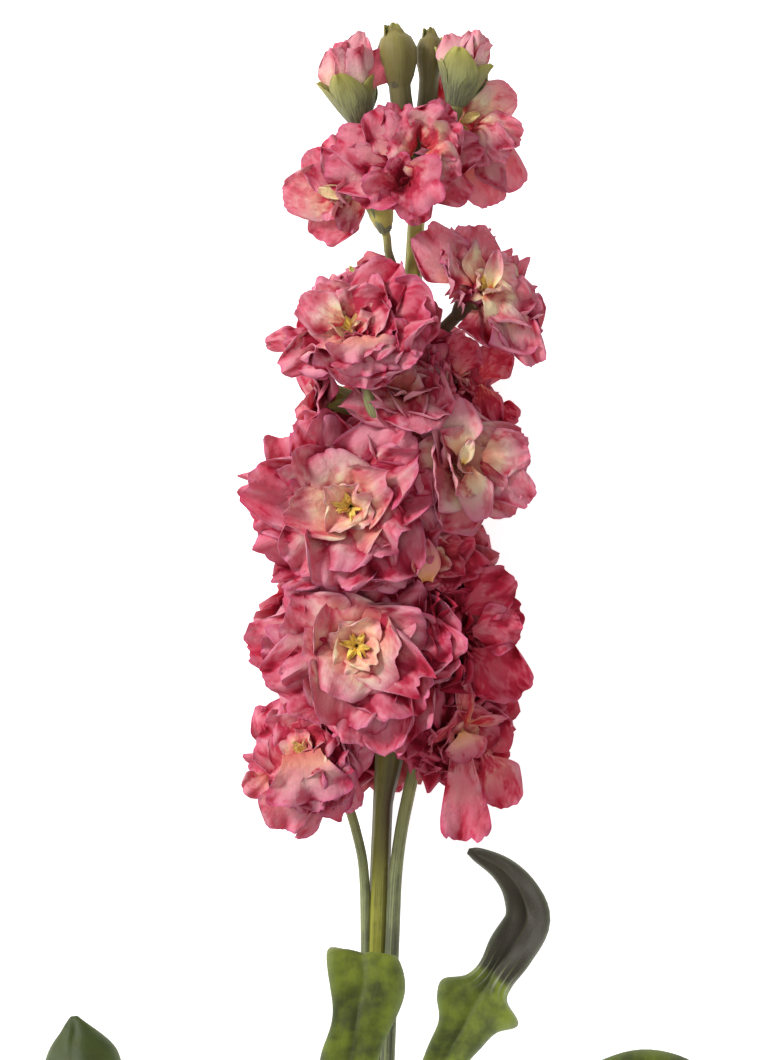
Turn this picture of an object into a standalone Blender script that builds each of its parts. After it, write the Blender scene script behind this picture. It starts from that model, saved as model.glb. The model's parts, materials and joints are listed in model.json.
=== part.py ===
"""A cut stem of double stock (Matthiola incana), laid on a table with its top along +Y.

Lengths are in millimetres until a point is handed to Blender, which works in metres. Every place is
measured from the middle of the stem's cut foot: x to the right, y along the stem towards its tip and
z up from the table. The last step moves the whole flower so that its box stands centred on the origin.
"""

import math
from typing import NamedTuple

import bmesh
import bpy
from mathutils import Matrix, Vector, noise
from mathutils.bvhtree import BVHTree
from mathutils.geometry import interpolate_bezier

MM = 0.001
SEAT_GAP = 0.3  # clearance where one piece is seated on another
TOUCH_GAP = 0.4  # clearance between two heads of petals that press on each other

# The stem: bending a little to the right as it rises, and lifted off the table by the heads under it.
STEM_LENGTH = 305.0
STEM_LEAN = 0.0145
STEM_BEND = 0.000072  # in 1/mm, how fast it leans further with its height
STEM_RISE = 0.10
STEM_FOOT_RADIUS = 3.4
STEM_SPIKE_START = 180.0  # where the florets begin
STEM_SPIKE_RADIUS = 3.0
STEM_TIP_RADIUS = 1.5
STEM_TAPER = 1.2
STEM_RINGS = 18
STEM_ROUNDNESS = 3  # curve bevel resolution, 10 sides

# Stalks: a thin pedicel that widens into a cup of green sepals.
STALK_RADIUS = 1.05
STALK_ROUNDNESS = 2  # 8 sides
STALK_BENDS = 7
CALYX_LENGTH = 8.5
CALYX_RADIUS = 2.9
CALYX_PROFILE = ((0.0, 0.42), (0.16, 0.86), (0.5, 1.0), (0.86, 0.90), (1.0, 0.96))

# A head of petals, turned about its facing: (radius, height) as shares of the head's radius.
HEAD_PROFILE = (
    (0.00, 0.00),
    (0.16, 0.00),
    (0.62, 0.13),
    (1.00, 0.24),
    (0.97, 0.34),
    (0.74, 0.36),
    (0.72, 0.56),
    (0.50, 0.55),
    (0.44, 0.74),
    (0.20, 0.62),
    (0.00, 0.52),
)
HEAD_SEGMENTS = 18
HEAD_LOBES = 5
LOBE_DEPTH = 0.10
RUFFLE_HEIGHT = 0.07
RUFFLE_WAVES = 3
HEAD_CENTRE = 0.36  # the height of the middle of its bulk, for parting neighbours
LEAST_HEIGHT = 0.02

LEAF_THICKNESS = 0.8
LEAF_ROWS = 17
LEAF_COLUMNS = 4


class Look(NamedTuple):
    """A plain finish: colour, roughness."""

    colour: tuple
    roughness: float


LOOKS = {
    "petals": Look((0.62, 0.16, 0.22), 0.55),
    "petals_pale": Look((0.78, 0.38, 0.40), 0.55),
    "calyx": Look((0.20, 0.22, 0.09), 0.60),
    "stem": Look((0.16, 0.19, 0.05), 0.45),
    "leaf": Look((0.10, 0.16, 0.02), 0.60),
}


class Floret(NamedTuple):
    """An open floret: the mouth of its calyx, the way it faces, its head's radius, and the height on
    the stem that its stalk leaves from."""

    name: str
    mouth: tuple
    facing: tuple
    radius: float
    leaves_stem_at: float


class Bud(NamedTuple):
    """A bud on its stalk: the foot of its calyx, the way it points, its length and girth, the height
    that its stalk leaves from, and how far its petals stand out of it (0 when it is closed)."""

    name: str
    foot: tuple
    facing: tuple
    length: float
    girth: float
    leaves_stem_at: float
    petals: float


class Leaf(NamedTuple):
    """A leaf: (x, y, z, left half width, right half width) at points along its midrib, the way its
    right edge points at the foot, how deeply it folds along the midrib (a ridge when negative), and how
    much its edges ripple."""

    name: str
    midrib: tuple
    right_edge: tuple
    fold: float
    ripple: float


FLORETS = (
    Floret("lower_left", (-10.0, 185.0, 28.0), (-0.60, 0.20, 0.78), 16.0, 158.0),
    Floret("lower_right", (17.0, 189.0, 27.0), (0.60, -0.25, 0.76), 16.5, 148.0),
    Floret("lower_front", (-1.0, 206.5, 35.0), (-0.12, 0.12, 1.00), 19.5, 188.0),
    Floret("right_shaded", (17.5, 209.0, 28.0), (0.85, 0.05, 0.52), 14.5, 192.0),
    Floret("middle_small", (14.0, 224.0, 36.0), (0.30, 0.10, 0.95), 9.0, 208.0),
    Floret("middle_front", (-2.0, 234.5, 38.0), (-0.18, 0.05, 0.98), 20.0, 214.0),
    Floret("middle_right", (18.5, 243.0, 35.0), (0.58, 0.10, 0.80), 14.5, 226.0),
    Floret("middle_top", (8.0, 257.0, 36.0), (0.05, 0.55, 0.80), 12.0, 240.0),
    Floret("upper_shaded", (16.0, 260.0, 30.0), (0.85, 0.20, 0.50), 14.5, 242.0),
    Floret("upper_left", (-1.5, 268.0, 43.0), (-0.25, 0.50, 0.82), 17.0, 250.0),
    Floret("upper_right", (22.6, 277.0, 38.0), (0.50, 0.50, 0.70), 15.5, 256.0),
    Floret("crown_left", (-3.0, 297.0, 39.0), (-0.82, 0.22, 0.50), 12.5, 278.0),
    Floret("crown_front", (8.5, 301.5, 45.0), (-0.05, -0.10, 1.00), 13.0, 288.0),
    Floret("crown_right", (17.0, 310.8, 39.0), (0.40, 0.10, 0.90), 13.0, 296.0),
    Floret("side_lower", (-9.0, 227.0, 24.5), (-0.98, -0.05, -0.15), 12.5, 216.0),
    Floret("side_upper", (-7.0, 256.0, 30.0), (-0.97, 0.10, 0.10), 11.0, 244.0),
    Floret("under_lower", (2.0, 191.0, 9.6), (-0.10, -0.20, -0.97), 14.0, 180.0),
    Floret("under_left", (-7.5, 209.0, 12.6), (-0.72, 0.00, -0.69), 15.0, 198.0),
    Floret("under_right", (12.0, 221.0, 11.4), (0.58, 0.05, -0.81), 14.0, 210.0),
    Floret("under_middle", (-5.0, 242.0, 12.6), (-0.68, 0.10, -0.72), 15.0, 229.0),
    Floret("under_upper", (10.0, 264.0, 10.8), (0.30, 0.10, -0.95), 14.0, 250.0),
    Floret("under_crown", (-2.0, 280.0, 17.0), (-0.50, 0.20, -0.84), 13.0, 267.0),
)

BUDS = (
    Bud("bud_left", (-0.8, 310.5, 39.5), (-0.20, 1.00, 0.12), 10.0, 4.3, 292.0, 7.5),
    Bud("bud_middle_left", (7.4, 313.5, 40.0), (-0.08, 1.00, 0.10), 16.5, 4.0, 299.0, 0.0),
    Bud("bud_middle_right", (12.6, 314.5, 36.5), (0.05, 1.00, 0.04), 15.0, 3.0, 301.5, 0.0),
    Bud("bud_small", (13.5, 316.0, 29.0), (0.16, 1.00, 0.05), 12.5, 2.2, 297.5, 0.0),
    Bud("bud_right", (18.0, 314.0, 42.0), (0.28, 1.00, 0.08), 10.5, 4.0, 296.0, 5.0),
)

LEAVES = (
    Leaf(
        "leaf_front",
        ((1.3, 84.0, 12.4, 2.2, 2.2), (-2.9, 97.0, 21.0, 4.0, 4.0), (-4.6, 112.0, 28.0, 6.2, 5.6),
         (-2.8, 124.0, 32.5, 6.1, 5.5), (-1.4, 133.0, 35.0, 4.8, 7.2), (-0.2, 140.0, 36.4, 7.0, 8.4),
         (0.4, 145.6, 35.2, 8.2, 6.8), (0.6, 144.6, 31.8, 5.5, 4.5), (0.4, 138.0, 30.6, 2.4, 2.4)),
        (1.0, 0.1, -0.1), 0.12, 0.3,
    ),
    Leaf(
        "leaf_curled",
        ((1.2, 66.0, 10.6, 2.0, 2.0), (6.0, 88.0, 22.0, 3.4, 3.4), (11.6, 112.0, 32.0, 4.0, 4.0),
         (16.2, 124.5, 36.5, 4.2, 4.2), (19.8, 131.0, 39.0, 5.0, 5.4), (23.0, 137.6, 41.2, 7.8, 8.2),
         (25.8, 142.0, 42.8, 3.6, 4.4), (29.0, 147.0, 44.2, 4.6, 4.8), (32.2, 152.8, 44.0, 4.4, 4.7),
         (31.0, 158.5, 42.5, 3.7, 3.4), (27.4, 162.6, 41.0, 2.5, 2.5), (21.0, 166.0, 39.5, 0.9, 0.9)),
        (0.9, -0.3, 0.2), 0.32, 0.2,
    ),
    Leaf(
        "leaf_far_left",
        ((0.8, 58.0, 9.2, 2.0, 2.0), (-16.0, 66.0, 17.0, 4.0, 4.0), (-36.0, 78.0, 22.0, 6.4, 6.4),
         (-51.0, 95.0, 22.0, 8.4, 8.4), (-58.0, 112.0, 17.0, 9.0, 9.8), (-59.2, 124.0, 12.5, 6.0, 8.4),
         (-59.4, 132.0, 9.0, 0.8, 0.9)),
        (0.4, 0.9, 0.1), -0.30, 0.4,
    ),
    Leaf(
        "leaf_far_right",
        ((0.8, 54.0, 8.8, 2.0, 2.0), (14.0, 74.0, 20.0, 3.6, 3.6), (28.0, 96.0, 28.0, 5.2, 5.2),
         (42.0, 112.0, 32.0, 7.0, 7.0), (56.0, 118.4, 31.0, 7.6, 7.6), (69.0, 114.0, 23.0, 6.6, 6.6),
         (79.0, 104.0, 12.0, 4.6, 4.6), (84.0, 95.0, 2.0, 1.2, 1.2)),
        (0.8, -0.5, 0.1), -0.16, 0.5,
    ),
    Leaf(
        "leaf_behind_left",
        ((1.2, 74.0, 10.8, 2.0, 2.0), (-5.0, 86.0, 11.0, 3.6, 3.6), (-9.5, 100.0, 9.0, 6.0, 6.0),
         (-12.0, 114.0, 5.0, 6.2, 6.2), (-12.5, 123.5, 2.0, 2.6, 2.6)),
        (0.9, 0.4, 0.0), 0.08, 0.3,
    ),
    Leaf(
        "leaf_low_left",
        ((0.4, 36.0, 7.0, 2.0, 2.0), (-14.0, 41.0, 10.0, 4.0, 4.0), (-30.0, 47.0, 9.5, 7.0, 7.0),
         (-48.0, 50.0, 5.5, 6.8, 6.8), (-62.0, 48.0, 0.8, 1.2, 1.2)),
        (0.3, 1.0, 0.1), 0.12, 0.4,
    ),
    Leaf(
        "leaf_low_right",
        ((0.4, 28.0, 6.2, 2.0, 2.0), (15.0, 32.0, 10.0, 4.0, 4.0), (32.0, 39.0, 9.5, 7.0, 7.0),
         (49.0, 50.0, 5.5, 6.8, 6.8), (60.0, 60.0, 0.8, 1.2, 1.2)),
        (0.4, -0.9, 0.1), 0.12, 0.4,
    ),
)


def clear_scene():
    """Removes every object that the scene holds."""
    for obj in list(bpy.data.objects):
        bpy.data.objects.remove(obj, do_unlink=True)


def material(look_name):
    """The Principled material of that look, made once."""
    found = bpy.data.materials.get(look_name)
    if found:
        return found
    look = LOOKS[look_name]
    made = bpy.data.materials.new(look_name)
    made.use_nodes = True
    shader = made.node_tree.nodes["Principled BSDF"]
    shader.inputs["Base Color"].default_value = (*look.colour, 1.0)
    shader.inputs["Roughness"].default_value = look.roughness
    shader.inputs["Metallic"].default_value = 0.0
    return made


def add_object(name, mesh, look_name):
    """Links a mesh to the scene as one named, smooth-shaded piece."""
    mesh.materials.clear()
    mesh.materials.append(material(look_name))
    mesh.shade_smooth()
    mesh.set_sharp_from_angle(angle=math.radians(50))
    obj = bpy.data.objects.new(name, mesh)
    bpy.context.scene.collection.objects.link(obj)
    return obj


def tube_mesh(name, points, radii, roundness):
    """A closed tube through the points, in metres, with its own radius at each of them."""
    curve = bpy.data.curves.new(name, "CURVE")
    curve.dimensions = "3D"
    curve.bevel_depth = 1.0
    curve.bevel_resolution = roundness
    curve.use_fill_caps = True
    spline = curve.splines.new("POLY")
    spline.points.add(len(points) - 1)
    for knot, point, radius in zip(spline.points, points, radii):
        knot.co = (*(Vector(point) * MM), 1.0)
        knot.radius = radius * MM
    holder = bpy.data.objects.new(name + "_curve", curve)
    bpy.context.scene.collection.objects.link(holder)
    graph = bpy.context.evaluated_depsgraph_get()
    mesh = bpy.data.meshes.new_from_object(holder.evaluated_get(graph))
    mesh.name = name
    bpy.data.objects.remove(holder, do_unlink=True)
    bm = bmesh.new()
    bm.from_mesh(mesh)
    bmesh.ops.remove_doubles(bm, verts=bm.verts, dist=0.01 * MM)
    bmesh.ops.recalc_face_normals(bm, faces=bm.faces)
    bm.to_mesh(mesh)
    bm.free()
    return mesh


def smooth_line(points, count):
    """Count points along a Catmull-Rom curve through the given ones, from the first to the last."""
    knots = [Vector(p) for p in points]
    knots = [2 * knots[0] - knots[1], *knots, 2 * knots[-1] - knots[-2]]
    spans = len(knots) - 3
    line = []
    for step in range(count):
        place = spans * step / (count - 1)
        span = min(int(place), spans - 1)
        t = place - span
        a, b, c, d = knots[span : span + 4]
        line.append(
            0.5 * (2 * b + (c - a) * t + (2 * a - 5 * b + 4 * c - d) * t**2 + (3 * b - a - 3 * c + d) * t**3)
        )
    return line


def stem_centre(height):
    """The middle of the stem at that height above its foot."""
    lean = STEM_LEAN * height + STEM_BEND * height**2
    return Vector((lean, height, STEM_FOOT_RADIUS + STEM_RISE * height))


def stem_radius(height):
    """The stem's radius at that height: stout below the florets, tapering through the spike."""
    if height < STEM_SPIKE_START:
        share = height / STEM_SPIKE_START
        return STEM_FOOT_RADIUS + (STEM_SPIKE_RADIUS - STEM_FOOT_RADIUS) * share
    share = (height - STEM_SPIKE_START) / (STEM_LENGTH - STEM_SPIKE_START)
    return STEM_SPIKE_RADIUS + (STEM_TIP_RADIUS - STEM_SPIKE_RADIUS) * share**STEM_TAPER


def stem_mesh(name, clearance=0.0):
    """The stem as a closed tube, or a stouter and longer one to cut a seat with."""
    heights = [STEM_LENGTH * step / (STEM_RINGS - 1) for step in range(STEM_RINGS)]
    radii = [stem_radius(height) + clearance for height in heights]
    points = [stem_centre(height) for height in heights]
    if clearance:
        points[0] = stem_centre(-clearance)
        points[-1] = stem_centre(STEM_LENGTH + clearance)
    return tube_mesh(name, points, radii, STEM_ROUNDNESS)


def stalk_line(start_height, calyx_foot, facing):
    """Where a stalk runs: out of the stem, along it and away, and up into its calyx."""
    start = stem_centre(start_height)
    reach = (calyx_foot - start).length
    along_stem = (stem_centre(start_height + 1.0) - start).normalized()
    leave = (along_stem + (calyx_foot - start).normalized()).normalized()
    return interpolate_bezier(
        start, start + leave * reach * 0.35, calyx_foot - facing * reach * 0.35, calyx_foot, STALK_BENDS
    )


def stalk_mesh(name, start_height, calyx_foot, facing, length, radius, clearance=0.0):
    """A stalk and the cup that it carries, as one closed tube."""
    line = stalk_line(start_height, calyx_foot, facing)[:-1]
    radii = [STALK_RADIUS + clearance] * len(line)
    for along, girth in CALYX_PROFILE:
        line.append(calyx_foot + facing * length * along)
        radii.append(radius * girth + clearance)
    return tube_mesh(name, line, radii, STALK_ROUNDNESS)


def facing_matrix(place, facing):
    """Puts a shape built along +Z at a place, in metres, turned to face that way."""
    turn = Vector(facing).to_track_quat("Z", "Y").to_matrix().to_4x4()
    return Matrix.Translation(Vector(place) * MM) @ turn


def ruffle(bm, radius, seed):
    """Lobes the rim of a turned head, and makes it wave as ruffled petals do."""
    for vert in bm.verts:
        out = math.hypot(vert.co.x, vert.co.y) / (radius * MM)
        if out < 0.3:
            continue
        turn = math.atan2(vert.co.y, vert.co.x)
        tier = 1 if out > 0.85 else 2
        lobe = math.cos(HEAD_LOBES * turn + seed * tier) + 0.5 * math.cos(3 * turn - seed)
        wave = math.sin(RUFFLE_WAVES * HEAD_LOBES * turn + seed * (2 + tier))
        spread = 1 + LOBE_DEPTH * lobe * out
        vert.co.x *= spread
        vert.co.y *= spread
        lift = RUFFLE_HEIGHT * radius * MM * out * (wave + lobe)
        vert.co.z = max(vert.co.z + lift, LEAST_HEIGHT * radius * MM)


def head_bmesh(floret, seed):
    """The bulk of a floret's petals: tiers of ruffles about a sunken middle."""
    bm = bmesh.new()
    size = floret.radius * MM
    ring = [bm.verts.new((out * size, 0.0, up * size)) for out, up in HEAD_PROFILE]
    edges = [bm.edges.new(pair) for pair in zip(ring, ring[1:])]
    bmesh.ops.spin(
        bm, geom=[*ring, *edges], cent=(0, 0, 0), axis=(0, 0, 1),
        angle=math.tau, steps=HEAD_SEGMENTS, use_merge=True,
    )
    bmesh.ops.remove_doubles(bm, verts=bm.verts, dist=0.005 * MM)
    bmesh.ops.recalc_face_normals(bm, faces=bm.faces)
    ruffle(bm, floret.radius, seed)
    facing = Vector(floret.facing).normalized()
    seat = Vector(floret.mouth) + facing * SEAT_GAP
    bmesh.ops.transform(bm, matrix=facing_matrix(seat, facing), verts=bm.verts)
    return bm


def cut_away(bm, point, normal):
    """Cuts off what lies beyond a plane, on the side that its normal points to, and closes the cut."""
    cut = bmesh.ops.bisect_plane(
        bm, geom=[*bm.verts, *bm.edges, *bm.faces], dist=0.001 * MM,
        plane_co=point, plane_no=normal, clear_outer=True,
    )
    rim = [item for item in cut["geom_cut"] if isinstance(item, bmesh.types.BMEdge)]
    if rim:
        bmesh.ops.holes_fill(bm, edges=rim, sides=0)
    bmesh.ops.remove_doubles(bm, verts=bm.verts, dist=0.002 * MM)


def petal_bulks():
    """The middle, in millimetres, and the reach of every head and knot of petals, by name."""
    bulks = {}
    for floret in FLORETS:
        facing = Vector(floret.facing).normalized()
        bulks[floret.name] = Vector(floret.mouth) + facing * HEAD_CENTRE * floret.radius, floret.radius
    for bud in BUDS:
        if bud.petals:
            facing = Vector(bud.facing).normalized()
            bulks[bud.name] = Vector(bud.foot) + facing * (bud.length + bud.petals / 2), bud.girth * 1.3
    return bulks


def part_neighbours(bm, name):
    """Trims petals where they press on their neighbours, on the plane that parts the two by size."""
    bulks = petal_bulks()
    here, reach = bulks.pop(name)
    for there, other_reach in bulks.values():
        distance = (there - here).length
        if distance > 1.25 * (reach + other_reach):
            continue
        towards = (there - here) / distance
        share = (distance**2 + reach**2 - other_reach**2) / (2 * distance)
        cut_away(bm, (here + towards * (share - TOUCH_GAP / 2)) * MM, towards)


def keep_largest_body(mesh):
    """Drops the crumbs that a cut may have left beside the main body."""
    bm = bmesh.new()
    bm.from_mesh(mesh)
    unseen = set(bm.faces)
    bodies = []
    while unseen:
        edge_of_search = [unseen.pop()]
        body = list(edge_of_search)
        while edge_of_search:
            face = edge_of_search.pop()
            near = {f for e in face.edges for f in e.link_faces} & unseen
            unseen -= near
            body += near
            edge_of_search += near
        bodies.append(body)
    bodies.sort(key=lambda faces: -sum(face.calc_area() for face in faces))
    for body in bodies[1:]:
        bmesh.ops.delete(bm, geom=body, context="FACES")
    bm.to_mesh(mesh)
    bm.free()


def overlaps(mesh, other):
    """Whether the surfaces of two meshes in the same frame cross."""
    trees = []
    for each in (mesh, other):
        bm = bmesh.new()
        bm.from_mesh(each)
        trees.append(BVHTree.FromBMesh(bm))
        bm.free()
    return bool(trees[0].overlap(trees[1]))


def subtract(mesh, cutters):
    """The mesh less the cutters that it meets, as one body."""
    for cutter_mesh in cutters:
        if not overlaps(mesh, cutter_mesh):
            continue
        body = bpy.data.objects.new("body", mesh)
        cutter = bpy.data.objects.new("cutter", cutter_mesh)
        for obj in (body, cutter):
            bpy.context.scene.collection.objects.link(obj)
        boolean = body.modifiers.new("seat", "BOOLEAN")
        boolean.operation = "DIFFERENCE"
        boolean.solver = "EXACT"
        boolean.use_self = True
        boolean.object = cutter
        graph = bpy.context.evaluated_depsgraph_get()
        mesh = bpy.data.meshes.new_from_object(body.evaluated_get(graph))
        for obj in (body, cutter):
            bpy.data.objects.remove(obj, do_unlink=True)
        keep_largest_body(mesh)
    return mesh


def leaf_mesh(leaf, seed):
    """A leaf blade: a grid bent along the midrib, folded and rippled, then given its thickness."""
    line = smooth_line([point[:3] for point in leaf.midrib], LEAF_ROWS)
    widths = smooth_line([(*point[3:], 0.0) for point in leaf.midrib], LEAF_ROWS)
    sides = []
    side = Vector(leaf.right_edge)
    for before, after in zip([line[0], *line], [*line[1:], line[-1]]):
        tangent = (after - before).normalized()
        side = (side - tangent * side.dot(tangent)).normalized()
        sides.append((side, side.cross(tangent)))
    bm = bmesh.new()
    bmesh.ops.create_grid(bm, x_segments=LEAF_COLUMNS, y_segments=LEAF_ROWS - 1, size=0.5)
    for vert in bm.verts:
        across, along = 2 * vert.co.x, vert.co.y + 0.5
        row = round(along * (LEAF_ROWS - 1))
        right, up = sides[row]
        width = max(widths[row].y if across > 0 else widths[row].x, 0.5)
        ripple = leaf.ripple * across**2 * math.sin(9.0 * along + 2.0 * across + seed)
        place = line[row] + right * width * across + up * (leaf.fold * width * abs(across) + ripple)
        place.z = max(place.z, LEAF_THICKNESS)
        vert.co = place * MM
    bmesh.ops.recalc_face_normals(bm, faces=bm.faces)
    bmesh.ops.solidify(bm, geom=bm.faces[:], thickness=LEAF_THICKNESS * MM)
    bmesh.ops.recalc_face_normals(bm, faces=bm.faces)
    mesh = bpy.data.meshes.new(leaf.name)
    bm.to_mesh(mesh)
    bm.free()
    return mesh


def bud_tip_mesh(bud):
    """The knot of furled petals that stands out of an opening bud."""
    facing = Vector(bud.facing).normalized()
    bm = bmesh.new()
    bmesh.ops.create_uvsphere(bm, u_segments=12, v_segments=8, radius=1.0)
    for vert in bm.verts:
        swirl = noise.noise(vert.co * 1.7 + Vector(bud.foot))
        vert.co *= 1.0 + 0.25 * swirl
        vert.co.x *= bud.girth * 1.15 * MM
        vert.co.y *= bud.girth * 1.15 * MM
        vert.co.z *= bud.petals * 0.75 * MM
    middle = Vector(bud.foot) + facing * (bud.length + bud.petals * 0.55)
    bmesh.ops.transform(bm, matrix=facing_matrix(middle, facing), verts=bm.verts)
    mouth = (Vector(bud.foot) + facing * (bud.length + SEAT_GAP)) * MM
    cut_away(bm, mouth, -facing)
    part_neighbours(bm, bud.name)
    bmesh.ops.recalc_face_normals(bm, faces=bm.faces)
    mesh = bpy.data.meshes.new(bud.name + "_petals")
    bm.to_mesh(mesh)
    bm.free()
    return mesh


def add_stem():
    """The main stem."""
    return add_object("main_stem", stem_mesh("main_stem"), "stem")


def add_stalks(stem_seat):
    """The stalk and calyx of every floret and bud, seated on the stem.

    Returns a stouter copy of each by name, to cut clearances with."""
    clearances = {}
    carried = []
    for floret in FLORETS:
        facing = Vector(floret.facing).normalized()
        foot = Vector(floret.mouth) - facing * CALYX_LENGTH
        carried.append((floret.name + "_stalk", floret.leaves_stem_at, foot, facing, CALYX_LENGTH, CALYX_RADIUS))
    for bud in BUDS:
        facing = Vector(bud.facing).normalized()
        carried.append(
            (bud.name + "_calyx", bud.leaves_stem_at, Vector(bud.foot), facing, bud.length, bud.girth)
        )
    for name, height, foot, facing, length, radius in carried:
        mesh = stalk_mesh(name, height, foot, facing, length, radius)
        mesh = subtract(mesh, [stem_seat, *clearances.values()])
        clearances[name] = stalk_mesh(
            name + "_seat", height, foot, facing, length, radius, clearance=SEAT_GAP
        )
        add_object(name, mesh, "calyx")
    return clearances


def add_heads(stem_seat, stalk_seats):
    """The head of petals on every floret, clear of its neighbours, the stem and every stalk."""
    for number, floret in enumerate(FLORETS):
        bm = head_bmesh(floret, seed=1.7 * number)
        part_neighbours(bm, floret.name)
        cut_away(bm, Vector((0, 0, 0)), Vector((0, 0, -1)))
        bmesh.ops.recalc_face_normals(bm, faces=bm.faces)
        mesh = bpy.data.meshes.new(floret.name + "_petals")
        bm.to_mesh(mesh)
        bm.free()
        others = [seat for name, seat in stalk_seats.items() if name != floret.name + "_stalk"]
        mesh = subtract(mesh, [stem_seat, *others])
        pale = floret.name in ("middle_right", "middle_small", "crown_left")
        add_object(floret.name + "_petals", mesh, "petals_pale" if pale else "petals")


def add_bud_tips(stalk_seats):
    """The petals of the buds that are opening."""
    for bud in BUDS:
        if bud.petals:
            others = [seat for name, seat in stalk_seats.items() if name != bud.name + "_calyx"]
            add_object(bud.name + "_petals", subtract(bud_tip_mesh(bud), others), "petals_pale")


def add_leaves(stem_seat):
    """Every leaf, seated on the stem."""
    for number, leaf in enumerate(LEAVES):
        mesh = subtract(leaf_mesh(leaf, seed=float(number)), [stem_seat])
        add_object(leaf.name, mesh, "leaf")


def stand_on_origin():
    """Moves every piece so that the flower's box stands on the table, centred on the origin."""
    pieces = [obj for obj in bpy.data.objects if obj.type == "MESH"]
    corners = [vert.co for obj in pieces for vert in obj.data.vertices]
    low = Vector(min(c[axis] for c in corners) for axis in range(3))
    high = Vector(max(c[axis] for c in corners) for axis in range(3))
    shift = Vector((-(low.x + high.x) / 2, -(low.y + high.y) / 2, -low.z))
    for obj in pieces:
        obj.data.transform(Matrix.Translation(shift))


def main():
    """Builds the whole flower."""
    clear_scene()
    add_stem()
    stem_seat = stem_mesh("stem_seat", clearance=SEAT_GAP)
    stalk_seats = add_stalks(stem_seat)
    add_heads(stem_seat, stalk_seats)
    add_bud_tips(stalk_seats)
    add_leaves(stem_seat)
    stand_on_origin()


main()
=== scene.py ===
"""The looks of a cut stem of double stock, laid on a pale table.

The frame says where things are: each stalk's foot, mouth and facing, and the line of the stem, are read
from its nodes. Lengths are in millimetres until a vertex is placed in metres. Leaves and the camera are
placed from the middle of the stem's cut foot: x to the right, y towards the flower's tip, z up.
"""

import json
import logging
import math
import random
from collections.abc import Callable
from dataclasses import dataclass, replace
from enum import Enum
from functools import partial

import bmesh
import bpy
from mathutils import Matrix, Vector, noise
from mathutils.bvhtree import BVHTree
from mathutils.geometry import interpolate_bezier

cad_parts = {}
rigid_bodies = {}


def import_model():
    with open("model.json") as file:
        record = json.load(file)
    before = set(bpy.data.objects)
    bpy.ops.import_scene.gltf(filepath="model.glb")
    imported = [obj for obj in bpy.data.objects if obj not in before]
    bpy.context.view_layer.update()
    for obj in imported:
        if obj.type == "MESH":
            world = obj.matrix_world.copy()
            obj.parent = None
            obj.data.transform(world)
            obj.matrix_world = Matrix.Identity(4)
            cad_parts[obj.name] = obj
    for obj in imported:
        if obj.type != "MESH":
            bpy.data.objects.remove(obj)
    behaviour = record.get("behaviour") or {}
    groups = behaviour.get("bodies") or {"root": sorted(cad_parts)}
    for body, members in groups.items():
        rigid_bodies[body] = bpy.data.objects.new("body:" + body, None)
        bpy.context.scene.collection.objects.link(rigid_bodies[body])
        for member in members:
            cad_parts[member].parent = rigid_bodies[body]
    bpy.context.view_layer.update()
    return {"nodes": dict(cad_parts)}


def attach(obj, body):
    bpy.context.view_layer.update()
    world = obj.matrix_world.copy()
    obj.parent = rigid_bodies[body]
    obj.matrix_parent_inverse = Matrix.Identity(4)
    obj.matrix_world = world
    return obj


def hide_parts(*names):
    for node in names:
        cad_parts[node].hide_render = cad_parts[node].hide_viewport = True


MM = 0.001
CENTIMETRE = 10.0
STALK_DROP = 1.5  # how far below its highest point on the stem a stalk leaves the stem's middle
SHADE = "shade"  # painted shade: how much of the sky the rest of the flower hides from that point, from 0 to 1, which darkens the petals' colour
SURFACE = "surface"  # (across, along, tint) of a point on its petal, leaf or stem, each from 0 to 1; on green tissue the tint is how far it darkens, partly its own tinge, partly painted shade
KIND = "kind"  # (paleness, underside, margin) of that point
SHARP_ANGLE = 65.0  # an edge that turns more than this many degrees isn't smoothed

Colour = tuple[float, float, float]
WHITE = (1.0, 1.0, 1.0)
UPWARD = Vector((0.0, 0.0, 1.0))
DOWNWARD = -UPWARD


# --- reading the frame


@dataclass(frozen=True)
class Seat:
    """Where a stalk leaves the stem, and the foot, mouth and facing of the cup at its far end."""

    root: Vector
    foot: Vector
    mouth: Vector
    facing: Vector


def widest_end(node: bpy.types.Object, fewest_triangles: int = 5) -> tuple[Vector, Vector]:
    """The widest flat end of a CAD node.

    Args:
        node: The CAD node's object.
        fewest_triangles: How many triangles share a plane before it counts as an end.

    Returns:
        Its middle in millimetres and its outward normal.
    """
    planes: dict[tuple, list] = {}
    for face in node.data.polygons:
        offset = face.normal.dot(face.center) / MM
        key = (*(round(value, 2) for value in face.normal), round(offset, 1))
        planes.setdefault(key, []).append(face)
    ends = [faces for faces in planes.values() if len(faces) >= fewest_triangles]
    end = max(ends, key=lambda faces: sum(face.area for face in faces))
    area = sum(face.area for face in end)
    middle = sum((face.center * face.area for face in end), Vector()) / area
    return middle / MM, sum((face.normal * face.area for face in end), Vector()).normalized()


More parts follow.
